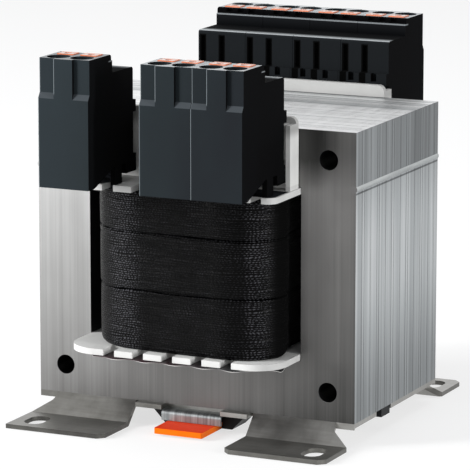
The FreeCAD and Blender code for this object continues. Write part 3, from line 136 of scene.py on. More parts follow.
class Paint:
    """A Principled material, with short calls for the nodes that feed it. Places are in millimetres."""

    def __init__(self, name, roughness, metallic=0.0, **sockets):
        self.material = bpy.data.materials.new(name)
        self.material.use_nodes = True
        self.nodes = self.material.node_tree.nodes
        self.links = self.material.node_tree.links
        self.shader = self.nodes["Principled BSDF"]
        self.base = None
        for socket, value in {"Roughness": roughness, "Metallic": metallic, **sockets}.items():
            self.shader.inputs[socket.replace("_", " ")].default_value = value
        coordinates = self.nodes.new("ShaderNodeTexCoord")
        self.uv = Value(self, coordinates.outputs["UV"])
        self.place = self.scaled(Value(self, coordinates.outputs["Object"]), (1 / MM,) * 3)
        self.x, self.y, self.z = self.split(self.place)
        facing = self.nodes.new("ShaderNodeNewGeometry").outputs["Normal"]
        self.nx, self.ny, self.nz = self.split(Value(self, facing))

    def put(self, socket, value):
        if isinstance(value, Value):
            self.links.new(value.socket, socket)
        elif isinstance(value, str):
            socket.default_value = tone(value)
        elif socket.type == "RGBA":
            socket.default_value = (value, value, value, 1.0)
        else:
            socket.default_value = value

    def math(self, operation, first, second=0.0):
        node = self.nodes.new("ShaderNodeMath")
        node.operation = operation
        self.put(node.inputs[0], first)
        self.put(node.inputs[1], second)
        return Value(self, node.outputs[0])

    def split(self, vector):
        node = self.nodes.new("ShaderNodeSeparateXYZ")
        self.put(node.inputs[0], vector)
        return [Value(self, output) for output in node.outputs]

    def scaled(self, vector, factors):
        node = self.nodes.new("ShaderNodeVectorMath")
        node.operation = "MULTIPLY"
        self.put(node.inputs[0], vector)
        node.inputs[1].default_value = factors
        return Value(self, node.outputs[0])

    def noise(self, factors, detail=2.0, rough=0.5, place=None):
        """Noise from 0 to 1 whose spots are about 1 / factor millimetres long in each direction."""
        node = self.nodes.new("ShaderNodeTexNoise")
        node.inputs["Scale"].default_value = 1.0
        node.inputs["Detail"].default_value = detail
        node.inputs["Roughness"].default_value = rough
        if not isinstance(factors, tuple):
            factors = (factors,) * 3
        self.put(node.inputs["Vector"], self.scaled(place or self.place, factors))
        return Value(self, node.outputs["Fac"])

    def chance(self, value):
        """Random number from 0 to 1, another for each value."""
        node = self.nodes.new("ShaderNodeTexWhiteNoise")
        node.noise_dimensions = "1D"
        self.put(node.inputs["W"], value)
        return Value(self, node.outputs["Value"])

    def ramp(self, value, *stops):
        node = self.nodes.new("ShaderNodeValToRGB")
        elements = node.color_ramp.elements
        while len(elements) < len(stops):
            elements.new(1.0)
        for element, (position, code) in zip(elements, stops):
            element.position = position
            element.color = tone(code)
        self.put(node.inputs[0], value)
        return Value(self, node.outputs["Color"])

    def mix(self, factor, first, second, blend="MIX"):
        node = self.nodes.new("ShaderNodeMix")
        node.data_type = "RGBA"
        node.blend_type = blend
        node.clamp_factor = True
        self.put(node.inputs[0], factor)
        self.put(node.inputs[6], first)
        self.put(node.inputs[7], second)
        return Value(self, node.outputs[2])

    def span(self, value, low, high, out_low=0.0, out_high=1.0, smooth=True):
        """out_low where value is low, out_high where it is high."""
        node = self.nodes.new("ShaderNodeMapRange")
        node.interpolation_type = "SMOOTHSTEP" if smooth else "LINEAR"
        for socket, number in zip(node.inputs[1:5], (low, high, out_low, out_high)):
            socket.default_value = number
        self.put(node.inputs[0], value)
        return Value(self, node.outputs[0])

    def fall(self, value, low, high):
        """1 up to low, 0 from high on."""
        return self.span(value, low, high, 1.0, 0.0)

    def line(self, value, centre, half, soft):
        """1 within half of centre, falling to 0 over soft."""
        return self.fall(abs(value - centre), half, half + soft)

    def between(self, noise, low, high):
        """A number from low to high, as noise has it."""
        return self.span(noise, NOISE_LOW, NOISE_HIGH, low, high)

    def shades(self, noise, dark, light):
        """A colour from dark to light, as noise has it."""
        return self.ramp(noise, (NOISE_LOW, dark), (NOISE_HIGH, light))

    def sway(self, value, *shares):
        """value plus or minus up to half of each share, as its noise has it."""
        for amount, noise in shares:
            value = (noise - 0.5) * amount + value
        return value

    def color(self, value):
        self.base = value
        self.put(self.shader.inputs["Base Color"], value)

    def rough(self, value):
        self.put(self.shader.inputs["Roughness"], value)

    def bump(self, height, distance, strength=1.0):
        node = self.nodes.new("ShaderNodeBump")
        node.inputs["Distance"].default_value = distance * MM
        node.inputs["Strength"].default_value = strength
        self.put(node.inputs["Height"], height)
        self.links.new(node.outputs[0], self.shader.inputs["Normal"])


def sheet_edges(paint):
    """Grey of the stacked sheet edges, which changes from sheet to sheet along Y."""
    return paint.sway(0.0, (0.05, paint.chance(paint.math("FLOOR", paint.y / SHEET))),
                      (0.12, paint.noise((0.001, 1.5, 0.004), detail=1.0)),
                      (0.2, paint.noise((0.001, 0.56, 0.003), rough=0.6)),
                      (0.26, paint.noise((0.002, 0.19, 0.007))))


def bolt_holes(paint):
    """1 on the walls of the four holes through the stack."""
    off_x = abs(paint.x) - BOLT_X
    off_z = abs(paint.z - (CORE_FOOT + CORE_TOP) / 2) - BOLT_Z
    radius = paint.math("SQRT", off_x ** 2.0 + off_z ** 2.0)
    return paint.fall(radius, BOLT_RADIUS + 0.01, BOLT_RADIUS + 0.15) * (abs(paint.y) < CORE_HALF_Y - 0.2)


def make_core_steel():
    """Brushed sheet on the front and rear, edges of the sheets on the other sides, with reflections,
    highlights and shade painted into both.
    """
    paint = Paint("core_steel", 0.42, STEEL)
    x, y, z = paint.x, paint.y, paint.z
    flat = paint.span(abs(paint.ny), 0.6, 0.9)
    upward = paint.span(paint.nz, 0.6, 0.9)
    across = paint.span(x, -CORE_HALF_X, CORE_HALF_X, smooth=False)
    up = paint.span(z, CORE_FOOT, CORE_TOP, smooth=False)
    grain = paint.noise((1.5, 0.06, 0.007), detail=3.0, rough=0.65)
    wide_grain = paint.noise((0.3, 0.06, 0.004))
    cloud = paint.noise(0.024, detail=3.0)

    # Painted reflection on the front and rear: lighter to the left and upwards, with a darker patch painted
    # near the top, right of the middle.
    painted_dark_patch = paint.span(up, 0.78, 0.96) * paint.span(across, 0.84, 0.97, 1.0, 0.3) * paint.span(across, 0.4, 0.7)
    plain = 0.525 - across * 0.26 + up * 0.25 - painted_dark_patch * 0.36
    plain = paint.sway(plain, (0.2, cloud), (0.12, grain), (0.08, wide_grain))
    plain_color = paint.ramp(plain, (0.28, "#454544"), (0.45, "#727170"), (0.6, "#9a9a99"), (0.82, "#d2d2d2"))

    stripes = sheet_edges(paint)
    # Painted light on the sides: a highlight across the middle below the joint, darker towards the rear above
    # it, and the tops far lighter, as lit from above, and darker towards the rear. A lighter strip runs along
    # their front edge, with a thin dark line behind it.
    below_joint_with_highlight = paint.line(z, 49.0, 4.0, 36.0) * 0.17 + 0.515
    above_joint = 0.495 - paint.span(y, -30.0, 30.0) * 0.08
    top = 0.99 - paint.span(y, -15.0, 30.0) * 0.17
    edge = paint.mix(paint.span(z, CORE_JOINT - 0.1, CORE_JOINT + 0.7), below_joint_with_highlight, above_joint)
    edge = stripes * (upward * 1.5 + 1.0) + paint.mix(upward, edge, top)
    edge = edge + paint.line(y, -28.8, 0.5, 0.3) * 0.07 - paint.line(y, -27.5, 0.2, 0.2) * 0.08
    shadow_of_bead = paint.line(z, 69.75, 0.15, 0.2) * ~upward
    shadow_of_wall = paint.line(y, 29.2, 0.5, 2.2) * paint.line(x, 0.0, 32.5, 1.0) * upward
    edge = edge - shadow_of_bead * 0.3 - shadow_of_wall * 0.5
    edge_color = paint.ramp(edge, (0.25, "#3e4143"), (0.5, "#7c8082"), (0.68, "#abafb1"), (0.95, "#f1f2f3"))

    # Painted shade: the walls of the window and of the bolt holes are near black and not metallic.
    window_shade = paint.fall(abs(x), WINDOW_HALF_X + 0.5, WINDOW_HALF_X + 1.5)
    window_shade = window_shade * paint.fall(z, CORE_JOINT, CORE_JOINT + 1.0) * ~flat
    inside = bolt_holes(paint) | window_shade
    paint.color(paint.mix(inside, paint.mix(flat, edge_color, plain_color), "#070707"))
    paint.put(paint.shader.inputs["Metallic"], paint.span(inside, 0.0, 1.0, STEEL, 0.0))
    paint.rough(paint.between(grain, 0.36, 0.48))
    groove = abs(paint.math("FRACT", y / SHEET) - 0.5)
    paint.bump(paint.mix(flat, stripes * 2.0 + groove, grain), 0.02, 0.4)
    return paint.material


def make_weld_metal():
    """Rippled bead, painted darker along its foot and lighter towards its top as light and shade, with ends
    painted like the painted reflection on the front of the core.
    """
    paint = Paint("weld_metal", 0.42, STEEL)
    wander = paint.noise((0.06, 0.16, 0.06))
    streak = paint.noise((0.2, 0.06, 0.5), detail=3.0)
    # Painted light: the bead is darker at its foot and lighter at its top.
    value = paint.sway(paint.span(paint.z, 70.2, 71.8, 0.42, 0.62), (0.5, streak))
    bead = paint.ramp(value, (0.2, "#6e7274"), (0.5, "#a2a6a7"), (0.8, "#ced1d1"))
    # Ends painted like the painted reflection on the front of the core: lighter on the left, darker on the
    # right.
    end = paint.mix(paint.span(paint.x, -1.0, 1.0), "#b8b8b8", "#727171")
    paint.color(paint.mix(paint.span(abs(paint.y), CORE_HALF_Y - 0.15, CORE_HALF_Y - 0.05), bead, end))
    paint.rough(paint.between(wander, 0.34, 0.5))
    paint.bump(paint.math("SINE", paint.y * 4.8 + wander * 16.0), 0.03, 0.5)
    return paint.material


def make_bracket_steel():
    paint = Paint("bracket_steel", 0.4, STEEL)
    blotch = paint.noise(0.06, detail=4.0, rough=0.6)
    grain = paint.noise((0.09, 1.1, 1.1), rough=0.6)
    scuff = paint.noise((0.26, 0.04, 0.2), detail=3.0, rough=0.7)
    # Painted light: upward faces at the rear are lighter, the risers darker on the left and lighter on the
    # right, and the whole a little darker to the right.
    lit_rear_plates = paint.span(paint.nz, 0.6, 0.9) * paint.span(paint.y, 0.0, 40.0)
    riser_light = paint.fall(paint.nz, 0.75, 0.92) * paint.span(paint.x, -30.0, 30.0, -0.05, 0.09)
    # Painted shade: the vertical edges of the feet are darker.
    rim = paint.fall(abs(paint.nz), 0.1, 0.4) * paint.fall(paint.z, 2.2, 3.0)
    value = 0.55 - paint.span(paint.x, -50.0, 50.0) * 0.05 + lit_rear_plates * 0.14 + riser_light - rim * 0.2
    value = paint.sway(value, (0.3, blotch), (0.1, grain), (0.1, scuff))
    paint.color(paint.ramp(value, (0.25, "#403f3d"), (0.45, "#73726e"), (0.6, "#9a9996"), (0.85, "#d6d6d4")))
    paint.rough(paint.between(blotch, 0.32, 0.46))
    paint.bump(value, 0.03, 0.4)
    return paint.material


def make_plastic(name, dark, light, rough_low, rough_high, grain, **sockets):
    """Moulded plastic: slight mottle in colour and gloss over a fine eroded grain."""
    paint = Paint(name, rough_low, **sockets)
    mottle = paint.noise(0.14, detail=3.0)
    paint.color(paint.shades(mottle, dark, light))
    paint.rough(paint.between(mottle, rough_low, rough_high))
    paint.bump(paint.noise(3.5, rough=0.6), grain, 0.5)
    return paint


def along_terminal(paint):
    """Place along X within a terminal, from 0 to its pitch."""
    return paint.math("FRACT", paint.x / TERMINAL_PITCH) * TERMINAL_PITCH


def make_terminal_plastic():
    """Eroded anthracite plastic, smoother on top, with light and shade painted in: lighter to the left,
    highlights along the ribs and the joints, shade on the sides and the half towards the core, and a
    reflection on the tops.
    """
    paint = Paint("terminal_plastic", 0.6, Specular_IOR_Level=0.06)
    y, z, nz = paint.y, paint.z, paint.nz
    depth = abs(y)
    place = along_terminal(paint)
    outer = paint.span(abs(paint.ny), 0.7, 0.9) * paint.span(depth, TERMINAL_FACE, TERMINAL_FACE + 0.2)
    inner = paint.fall(depth, 50.0, 55.5)
    shaded_sides = paint.span(abs(paint.nx), 0.7, 0.95)
    mottle = paint.noise((0.06, 0.06, 0.03), detail=3.0)
    speck = paint.noise(3.0, rough=0.6)
    # Painted light: the terminals are lighter to the left and darker to the right.
    value = paint.sway(paint.span(paint.x, -30.0, 30.0, 0.62, 0.38), (0.4, mottle), (0.15, speck))
    color = paint.ramp(value, (0.3, "#1d2024"), (0.5, "#242a2d"), (0.7, "#2b3236"))

    # Painted shade on the half towards the core: it is darker, and black in the grooves between its ribs and
    # on its foot.
    tower = paint.mix(paint.span(z, 101.2, 104.6), "#040405", "#131416")
    tower = paint.mix(paint.span(z, 100.8, 101.2), "#17191b", tower)
    color = paint.mix(inner * 0.95, color, tower)
    groove_place = abs((y < 0.0) * TERMINAL_PITCH - place)
    grooves = paint.line(groove_place, 1.5, 0.9, 0.25) | paint.line(groove_place, 7.5, 0.9, 0.25)
    black = (grooves | paint.fall(z, 83.0, 87.0)) * paint.fall(z, 100.0, 100.5) * inner
    color = paint.mix(black, color, "#020202")
    # Painted shade: the sides of the terminals are nearly black.
    color = paint.mix(shaded_sides * 0.95, color, "#030304")

    # Painted highlights along the joints and ribs of the outer face, painted light on the slopes, and a
    # painted highlight along the step of the tower.
    joint = paint.line(place, 0.1, 0.06, 0.1)
    rib_highlight = paint.line(place, 4.78, 0.05, 0.08) * paint.span(z, 96.5, 97.2)
    color = paint.mix((joint | rib_highlight) * outer * 0.75, color, "#80888c")
    lit_slope = paint.span(nz, 0.3, 0.5) * paint.fall(nz, 0.75, 0.9) * (1.0 - inner * 0.9)
    color = paint.mix(lit_slope * 0.8, color, "#454a4e")
    step = paint.line(z, 104.6, 0.12, 0.1) * paint.span(inner, 0.9, 1.0)
    color = paint.mix(step * 0.8, color, "#8b9093")

    # Tops: painted shade makes the crown near the core black. The rest, and the shelf behind the tower along
    # its edge towards the core, are smooth and carry a painted reflection that makes them light, a little
    # darker on the left front terminal, in shade.
    crown = paint.span(z, 104.82, 104.88) * paint.fall(depth, 50.3, 50.6)
    color = paint.mix(crown, color, "#040405")
    top = paint.span(depth, 50.3, 50.6) | paint.fall(depth, 36.0, 41.0) * paint.span(z, 99.0, 100.5)
    top = top * paint.span(nz, 0.75, 0.92)
    in_shade = paint.fall(paint.x, -15.2, -14.8) * (y < 0.0)
    paint.color(paint.mix(top * 0.9, color, paint.mix(in_shade, "#b4b9bc", "#85898c")))
    rough = paint.mix(shaded_sides | inner, paint.between(mottle, 0.62, 0.74), 1.0)
    paint.rough(paint.mix(top, rough, paint.between(mottle, 0.2, 0.3)))
    paint.bump(speck, 0.02, 0.4)
    return paint.material


def make_bobbin_plastic():
    """White moulding, painted a little grey round the coil and grey on the upper edges of the carrier walls,
    as painted shade.
    """
    paint = make_plastic("bobbin_plastic", "#e4e4e2", "#f0f0ee", 0.5, 0.62, 0.015)
    # Painted shade: greyer round the coil and on the upper carrier walls.
    shade = paint.mix(paint.span(paint.z, 71.2, 71.8), 0.84, 1.0)
    shade = paint.mix(paint.span(paint.z, 84.0, 87.0), shade, 0.5)
    paint.color(paint.mix(1.0, paint.base, shade, "MULTIPLY"))
    return paint.material


def make_copper_wire():
    paint = Paint("copper_wire", 0.3, STEEL)
    paint.color(paint.shades(paint.noise(0.22), "#8a4a24", "#b8703c"))
    paint.bump(paint.math("SINE", paint.z * (2 * math.pi / WIRE)), 0.3)
    return paint.material


def make_foil():
    """Brown creased foil, greyer to the right, its cut edge painted pale between the flange's teeth as a
    painted highlight.
    """
    paint = Paint("insulation_foil", 0.3, Specular_IOR_Level=0.35)
    crease = paint.noise((0.12, 0.12, 0.03), detail=3.0)
    fibre = paint.noise((0.9, 0.2, 0.9))
    color = paint.shades(fibre * 0.3 + crease * 0.7, "#2b1f1e", "#46343a")
    color = paint.mix(paint.span(paint.x, -4.0, 18.0), color, "#3c3c3e")
    # Painted highlight: the foil's edge is pale between the teeth and towards its ends, and stays dark under
    # the teeth.
    gap = 0.5 - paint.math("COSINE", (paint.x + TOOTH_SHIFT) * (2 * math.pi / TOOTH_PITCH)) * 0.5
    gap = gap | paint.span(abs(paint.x), 21.5, 25.0)
    rim = paint.fall(abs(paint.nz), 0.45, 0.7) * paint.span(paint.z, 22.0, 22.2, 1.0, 0.9)
    paint.color(paint.mix(rim * (gap * 0.85 + 0.1), color, "#e0dedb"))
    paint.rough(paint.between(crease, 0.24, 0.42))
    paint.bump(crease, 0.12, 0.6)
    return paint.material


def make_tape():
    """Woven tape with painted glints on its threads, painted highlight bands at its corners and painted shade
    in the window. UV is (millimetres round the coil, millimetres up).
    """
    paint = Paint("coil_tape", 0.3, Specular_IOR_Level=0.06)
    x, y = paint.x, paint.y
    along, up, _ = paint.split(paint.uv)

    def weave_noise(factors, **settings):
        return paint.noise(factors, place=paint.uv, **settings)

    row = paint.sway(up, (1.8, weave_noise((0.06, 0.5, 1.0), detail=3.0))) / TAPE_ROW
    thread = paint.math("SINE", paint.math("FRACT", row) * math.pi)
    phase = along / TAPE_PERIOD + paint.chance(paint.math("FLOOR", row)) * 3.0
    phase = paint.sway(phase, (2.2, weave_noise((0.6, 0.9, 1.0))))
    knuckle = paint.math("SINE", phase * (2 * math.pi)) * 0.5 + 0.5
    loose = weave_noise((1.7, 2.6, 1.0), detail=3.0, rough=0.75)
    height = thread ** 1.5 * (knuckle * 0.45 + loose * 0.9)

    # Painted glints: the crests of the threads are painted lighter, in random patches, and more in painted
    # highlight bands at the left and right corners of the front and the rear.
    patchy_glints = paint.span(weave_noise((0.16, 0.12, 1.0), detail=3.0), 0.25, 0.75, 0.85, 1.05)
    hand = x * paint.math("SIGN", y)
    highlight_bands = paint.line(hand, 14.5, 1.0, 6.5) | paint.line(hand, -24.8, 0.8, 3.4) * 0.85
    crest_glint = height * patchy_glints * (highlight_bands * 0.5 + 0.88)
    color = paint.ramp(crest_glint, (0.25, "#010101"), (0.5, "#070708"), (0.75, "#212123"), (1.0, "#525256"))
    # Painted shade: in the window and on the sides the tape is nearly black and rough.
    window_shade = paint.fall(abs(y), 28.5, 33.5) | paint.span(abs(x), 27.2, 29.0)
    paint.color(paint.mix(window_shade * 0.9, color, "#010101"))
    paint.rough(paint.mix(window_shade, paint.between(loose, 0.22, 0.36), 0.8))
    paint.bump(height, 0.16)
    return paint.material


def make_sleeve():
    paint = Paint("lead_sleeve", 0.8, Specular_IOR_Level=0.06)
    braid = paint.noise((1.4, 1.4, 0.5))
    paint.color(paint.shades(braid, "#101114", "#26282c"))
    paint.bump(braid, 0.05)
    return paint.material


def make_clip_plastic():
    paint = make_plastic("clip_plastic", "#0d0e10", "#17191b", 0.45, 0.6, 0.02, Specular_IOR_Level=0.2)
    return paint.material


def make_spring_steel():
    paint = Paint("spring_steel", 0.4, STEEL)
    brush = paint.noise((1.6, 0.04, 0.04), detail=3.0)
    value = paint.sway(0.5, (0.8, brush))
    paint.color(paint.ramp(value, (0.2, "#6a6d6f"), (0.5, "#8f9394"), (0.8, "#bcc1c2")))
    paint.rough(paint.between(brush, 0.34, 0.46))
    paint.bump(brush, 0.01)
    return paint.material


def make_latch_plastic():
    """Orange plastic with its top painted redder and darker than its sides, as painted shade."""
    paint = make_plastic("latch_plastic", "#f56a08", "#fa760c", 0.45, 0.55, 0.01, Specular_IOR_Level=0.12)
    # Painted shade: the top is redder and darker than the sides.
    paint.color(paint.mix(paint.span(paint.nz, 0.4, 0.9), paint.base, "#ee3e10"))
    return paint.material


def make_button_plastic():
    """Orange buttons whose middle is painted pale as a reflection, with a slot for a screwdriver painted dark
    as shade.
    """
    paint = Paint("button_plastic", 0.2, Specular_IOR_Level=0.6)
    mottle = paint.noise((0.12, 0.12, 0.06), detail=3.0)
    top = paint.span(paint.nz, 0.6, 0.9)
    off_x = abs(abs(along_terminal(paint) - TERMINAL_PITCH / 2) - BUTTON_OFF_X)
    off_y = abs(abs(paint.y) - BUTTON_Y)
    # Painted shade: a dark slot on the top.
    slot = paint.fall(off_x, 0.5, 0.65) * paint.fall(off_y, 0.8, 1.0) * top
    # Painted reflection: the top is pale in the middle, orange at its edges and on the sides.
    edges = paint.span(off_x, 1.75, 2.1) | paint.span(off_y, 1.3, 1.8) | ~top
    color = paint.mix(edges, paint.shades(mottle, "#cbb3aa", "#d6c6c0"), "#d87444")
    paint.color(paint.mix(slot, color, "#1c1210"))
    paint.rough(paint.between(mottle, 0.12, 0.24))
    paint.bump(mottle - slot * 2.0, 0.03, 0.5)
    return paint.material


def make_contact_metal():
    paint = Paint("contact_copper", 0.3, 1.0)
    tarnish = paint.noise(0.26, detail=3.0)
    paint.color(paint.shades(tarnish, "#a8754f", "#d8ab86"))
    paint.rough(paint.between(tarnish, 0.22, 0.42))
    return paint.material


FINISHES = {
    "core_steel": make_core_steel(),
    "weld_metal": make_weld_metal(),
    "bracket_steel": make_bracket_steel(),
    "bobbin_plastic": make_bobbin_plastic(),
    "copper_wire": make_copper_wire(),
    "insulation_foil": make_foil(),
    "coil_tape": make_tape(),
    "lead_sleeve": make_sleeve(),
    "clip_plastic": make_clip_plastic(),
    "spring_steel": make_spring_steel(),
    "latch_plastic": make_latch_plastic(),
    "terminal_plastic": make_terminal_plastic(),
    "button_plastic": make_button_plastic(),
    "contact_copper": make_contact_metal(),
}
BEVELS = {
    "core_steel": 0.12,
    "bracket_steel": 0.25,
    "bobbin_plastic": 0.2,
    "clip_plastic": 0.25,
    "spring_steel": 0.1,
    "latch_plastic": 0.25,
    "terminal_plastic": 0.18,
    "button_plastic": 0.15,
}


def dress(item, slot_name):
    item.data.materials.clear()
    item.data.materials.append(FINISHES[slot_name])


def soften_edges(item, width):
    edge = item.modifiers.new("worn_edges", "BEVEL")
    edge.width = width * MM
    edge.segments = 2
    edge.limit_method = "ANGLE"
    edge.angle_limit = math.radians(40)
    edge.use_clamp_overlap = True
    edge.harden_normals = True


for part in frame["record"]["subparts"]:
    node = frame["nodes"][part["node"]]
    dress(node, part["material_slot"])
    if part["material_slot"] in BEVELS:
        soften_edges(node, BEVELS[part["material_slot"]])


# ---------------------------------------------------------------- pieces

def part_way(value, start, end):
    """0 at start, 1 at end, straight between them."""
    return min(1.0, max(0.0, (value - start) / (end - start)))


def hill(value, centre, width):
    """1 at centre, falling off on both sides."""
    return math.exp(-((value - centre) / width) ** 2)


def add_piece(name, mesh, slot_name):
    item = bpy.data.objects.new(name, mesh)
    bpy.context.scene.collection.objects.link(item)
    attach(item, ROOT)
    dress(item, slot_name)
    for face in mesh.polygons:
        face.use_smooth = True
    return item


def finish_mesh(work, name):
    bmesh.ops.recalc_face_normals(work, faces=work.faces)
    mesh = bpy.data.meshes.new(name)
    work.to_mesh(mesh)
    work.free()
    return mesh


def rounded_outline(half_x, half_y, corner, count):
    """Points at equal steps round a rounded rectangle, with outward directions, and its length.

    They start at the middle of the rear side. runs are its straight and round lengths in turn: an entry of
    starts is the point and the direction of a straight one, and one of centres the middle and first angle of
    a round one.
    """
    straight_x = half_x - corner
    straight_y = half_y - corner
    arc = corner * math.pi / 2
    runs = [straight_x, arc, 2 * straight_y, arc, 2 * straight_x, arc, 2 * straight_y, arc, straight_x]
    total = sum(runs)
    centres = {1: (straight_x, straight_y, 90), 3: (straight_x, -straight_y, 0),
               5: (-straight_x, -straight_y, -90), 7: (-straight_x, straight_y, 180)}
    starts = {0: (0, half_y, 1, 0, 0, 1), 2: (half_x, straight_y, 0, -1, 1, 0),
              4: (straight_x, -half_y, -1, 0, 0, -1), 6: (-half_x, -straight_y, 0, 1, -1, 0),
              8: (-straight_x, half_y, 1, 0, 0, 1)}
    points = []
    for step in range(count):
        rest = total * step / count
        run = 0
        while rest > runs[run]:
            rest -= runs[run]
            run += 1
        if run in starts:
            x, y, along_x, along_y, nx, ny = starts[run]
            points.append((x + along_x * rest, y + along_y * rest, nx, ny))
        else:
            x, y, first = centres[run]
            angle = math.radians(first) - rest / corner
            points.append((x + corner * math.cos(angle), y + corner * math.sin(angle),
                           math.cos(angle), math.sin(angle)))
    return points, total


def make_band(name, profile, half_x, half_y, corner, count, sway):
    """Closed ring over profile: (outward, tuck of the sides, height, share of the sway) in millimetres."""
    outline, total = rounded_outline(half_x, half_y, corner, count)
    work = bmesh.new()
    uv = work.loops.layers.uv.new("UVMap")
    rings = []
    for index, (x, y, nx, ny) in enumerate(outline):
        lift, swell = sway(index / count * 2 * math.pi, x, y)
        tuck = 0.25 + 0.75 * abs(nx)
        ring = []
        for outward, side_tuck, height, share in profile:
            reach = outward + tuck * side_tuck + swell * share
            point = Vector((x + nx * reach, y + ny * reach, height + lift * share))
            ring.append(work.verts.new(point * MM))
        rings.append(ring)
    for index in range(count):
        here = rings[index]
        after = rings[(index + 1) % count]
        for low in range(len(profile)):
            high = (low + 1) % len(profile)
            face = work.faces.new((here[low], here[high], after[high], after[low]))
            places = ((index, low), (index, high), (index + 1, high), (index + 1, low))
            for loop, (step, level) in zip(face.loops, places):
                loop[uv].uv = (step / count * total, profile[level][2])
    return finish_mesh(work, name)


def tape_slack(x, y):
    """How far the tape stands off the coil: along the front, most at its right corner. The rear likewise."""
    hand = x if y >= 0 else -x
    ahead = part_way(hand, 22.0, -8.0)
    slack = 1.5 * ahead ** 2 * (3 - 2 * ahead) * part_way(abs(y), 29.0, 35.0)
    if hand < 0:
        slack += 2.6 * hill(hand, -25.0, 8.0) * hill(min(abs(y), 36.0), 36.0, 9.0)
    return slack


def make_tape_bands():
    """Three bands of woven tape, crowned between their seams; the middle one has a groove near its top."""
    low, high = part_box("tape_band_lower")
    seams = (low.z / MM, 41.2, 57.3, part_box("tape_band_upper")[1].z / MM)
    steps = 24
    inward = -1.8
    # Name, place outward, phase of its waves, and its shares of their lift and of the slack.
    bands = (
        ("tape_band_lower", -0.25, 0.4, 0.4, 1.0),
        ("tape_band_middle", 0.0, 1.9, 1.0, 0.9),
        ("tape_band_upper", 0.1, 3.1, 1.0, 0.8),
    )
    for index, (name, outward, phase, lift_share, slack_share) in enumerate(bands):
        start, end = seams[index], seams[index + 1] - 0.05
        width = end - start
        profile = []
        for step in range(steps + 1):
            t = step / steps
            height = start + t * width
            from_end = min(t, 1 - t) * width
            rounding = 0.35 * max(0.0, 1 - from_end / 0.4) ** 2
            crown = 0.1 * (1 - (2 * t - 1) ** 4)
            side_tuck = 0.0
            if name == "tape_band_lower" and t < 0.5:
                side_tuck = -0.7 * max(0.0, 1 - from_end / 2.4) ** 2
            if name == "tape_band_middle":
                past_groove = height - (end - 1.7)
                rounding += 0.28 * hill(past_groove, 0.0, 0.35)
                if past_groove > 0.3:
                    crown += 0.12
            profile.append((crown - rounding + outward, side_tuck, height, 1.0))
        profile += [(inward, 0.0, end, 0.0), (inward, 0.0, start, 0.0)]

        def sway(around, x, y):
            lift = 0.06 * math.sin(3 * around + phase) + 0.04 * math.sin(7 * around + 2 * phase)
            swell = 0.05 * math.sin(2 * around + phase) + 0.05 * math.sin(5 * around + 3 * phase)
            return lift * lift_share, swell + tape_slack(x, y) * slack_share

        woven = f"{name}_woven"
        mesh = make_band(woven, profile, high.x / MM, high.y / MM, corner=13.9, count=220, sway=sway)
        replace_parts(add_piece(woven, mesh, "coil_tape"), name)


def make_sheet(name, columns, rows, place, gauge, slot_name):
    """Thin sheet over a grid; place(s, t) gives a point in millimetres for s and t from 0 to 1."""
    work = bmesh.new()
    sides = []
    for lift in (0.0, gauge):
        sides.append([[work.verts.new(Vector(place(i / columns, j / rows)) * MM + Vector((0, 0, lift * MM)))
                       for j in range(rows + 1)] for i in range(columns + 1)])
    low, high = sides
    for i in range(columns):
        for j in range(rows):
            work.faces.new((low[i][j], low[i][j + 1], low[i + 1][j + 1], low[i + 1][j]))
            work.faces.new((high[i][j], high[i + 1][j], high[i + 1][j + 1], high[i][j + 1]))
    rim = [(i, 0) for i in range(columns)] + [(columns, j) for j in range(rows)]
    rim += [(i, rows) for i in range(columns, 0, -1)] + [(0, j) for j in range(rows, 0, -1)]
    for (i, j), (k, m) in zip(rim, rim[1:] + rim[:1]):
        work.faces.new((low[i][j], low[k][m], high[k][m], high[i][j]))
    piece = add_piece(name, finish_mesh(work, name), slot_name)
    crisp = piece.modifiers.new("crisp_rim", "EDGE_SPLIT")
    crisp.split_angle = math.radians(50)
    return piece


def make_slot_foils():
    """Foil under the lower flange, its free edge sagging between the teeth and curled at one end."""
    underside = 22.42
    corner_length = 11.0
    for end, way in (("front", -1), ("rear", 1)):
        low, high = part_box(f"slot_foil_{end}")
        half = high.x / MM
        root, tip = sorted((abs(low.y) / MM, abs(high.y) / MM))

        def place(s, t):
            x = -half + 2 * half * s
            free = part_way(t, 0.35, 1.0)
            tooth = math.cos(2 * math.pi * (x + TOOTH_SHIFT) / TOOTH_PITCH)
            corner = part_way(abs(x), half - corner_length, half)
            reach = root + (tip - root) * t * (1 - 0.42 * corner ** 2.2)
            sag = 0.16 * free * (1 - tooth) * (1 if abs(x) < 22 else 0.2)
            curl = 1.25 * part_way(-way * x, 24.0, 29.5) * hill(reach, 38.5, 2.6)
            tuck = 3.2 * free * part_way(way * x, 22.5, 24.0) + 0.125 * free * (1 + tooth)
            return x, way * (reach - tuck), underside - sag - curl

        piece = make_sheet(f"slot_foil_{end}_creased", 180, 10, place, 0.14, "insulation_foil")
        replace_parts(piece, f"slot_foil_{end}")


def make_lobe_foils():
    """Black foil that lies on the outer lobes of the upper flange."""
    flange_top = 70.33
    low_x, high_x = 18.6, 31.3
    low_y, high_y = 36.2, 46.4
    for end, way in (("front", -1), ("rear", 1)):
        for side, hand in (("left", -1), ("right", 1)):

            def place(s, t):
                cut = 3.2 * part_way(s, 0.25, 0.0) ** 2 + 1.4 * part_way(s, 0.88, 1.0) ** 2
                x = low_x + (high_x - low_x) * s
                y = low_y + (high_y - cut - low_y) * t
                return hand * x, way * y, flange_top + 0.03 * math.sin(6 * s + 4 * t)

            make_sheet(f"lobe_foil_{end}_{side}", 24, 10, place, 0.08, "lead_sleeve")


make_tape_bands()
make_slot_foils()
make_lobe_foils()


# ---------------------------------------------------------------- floor, light and camera

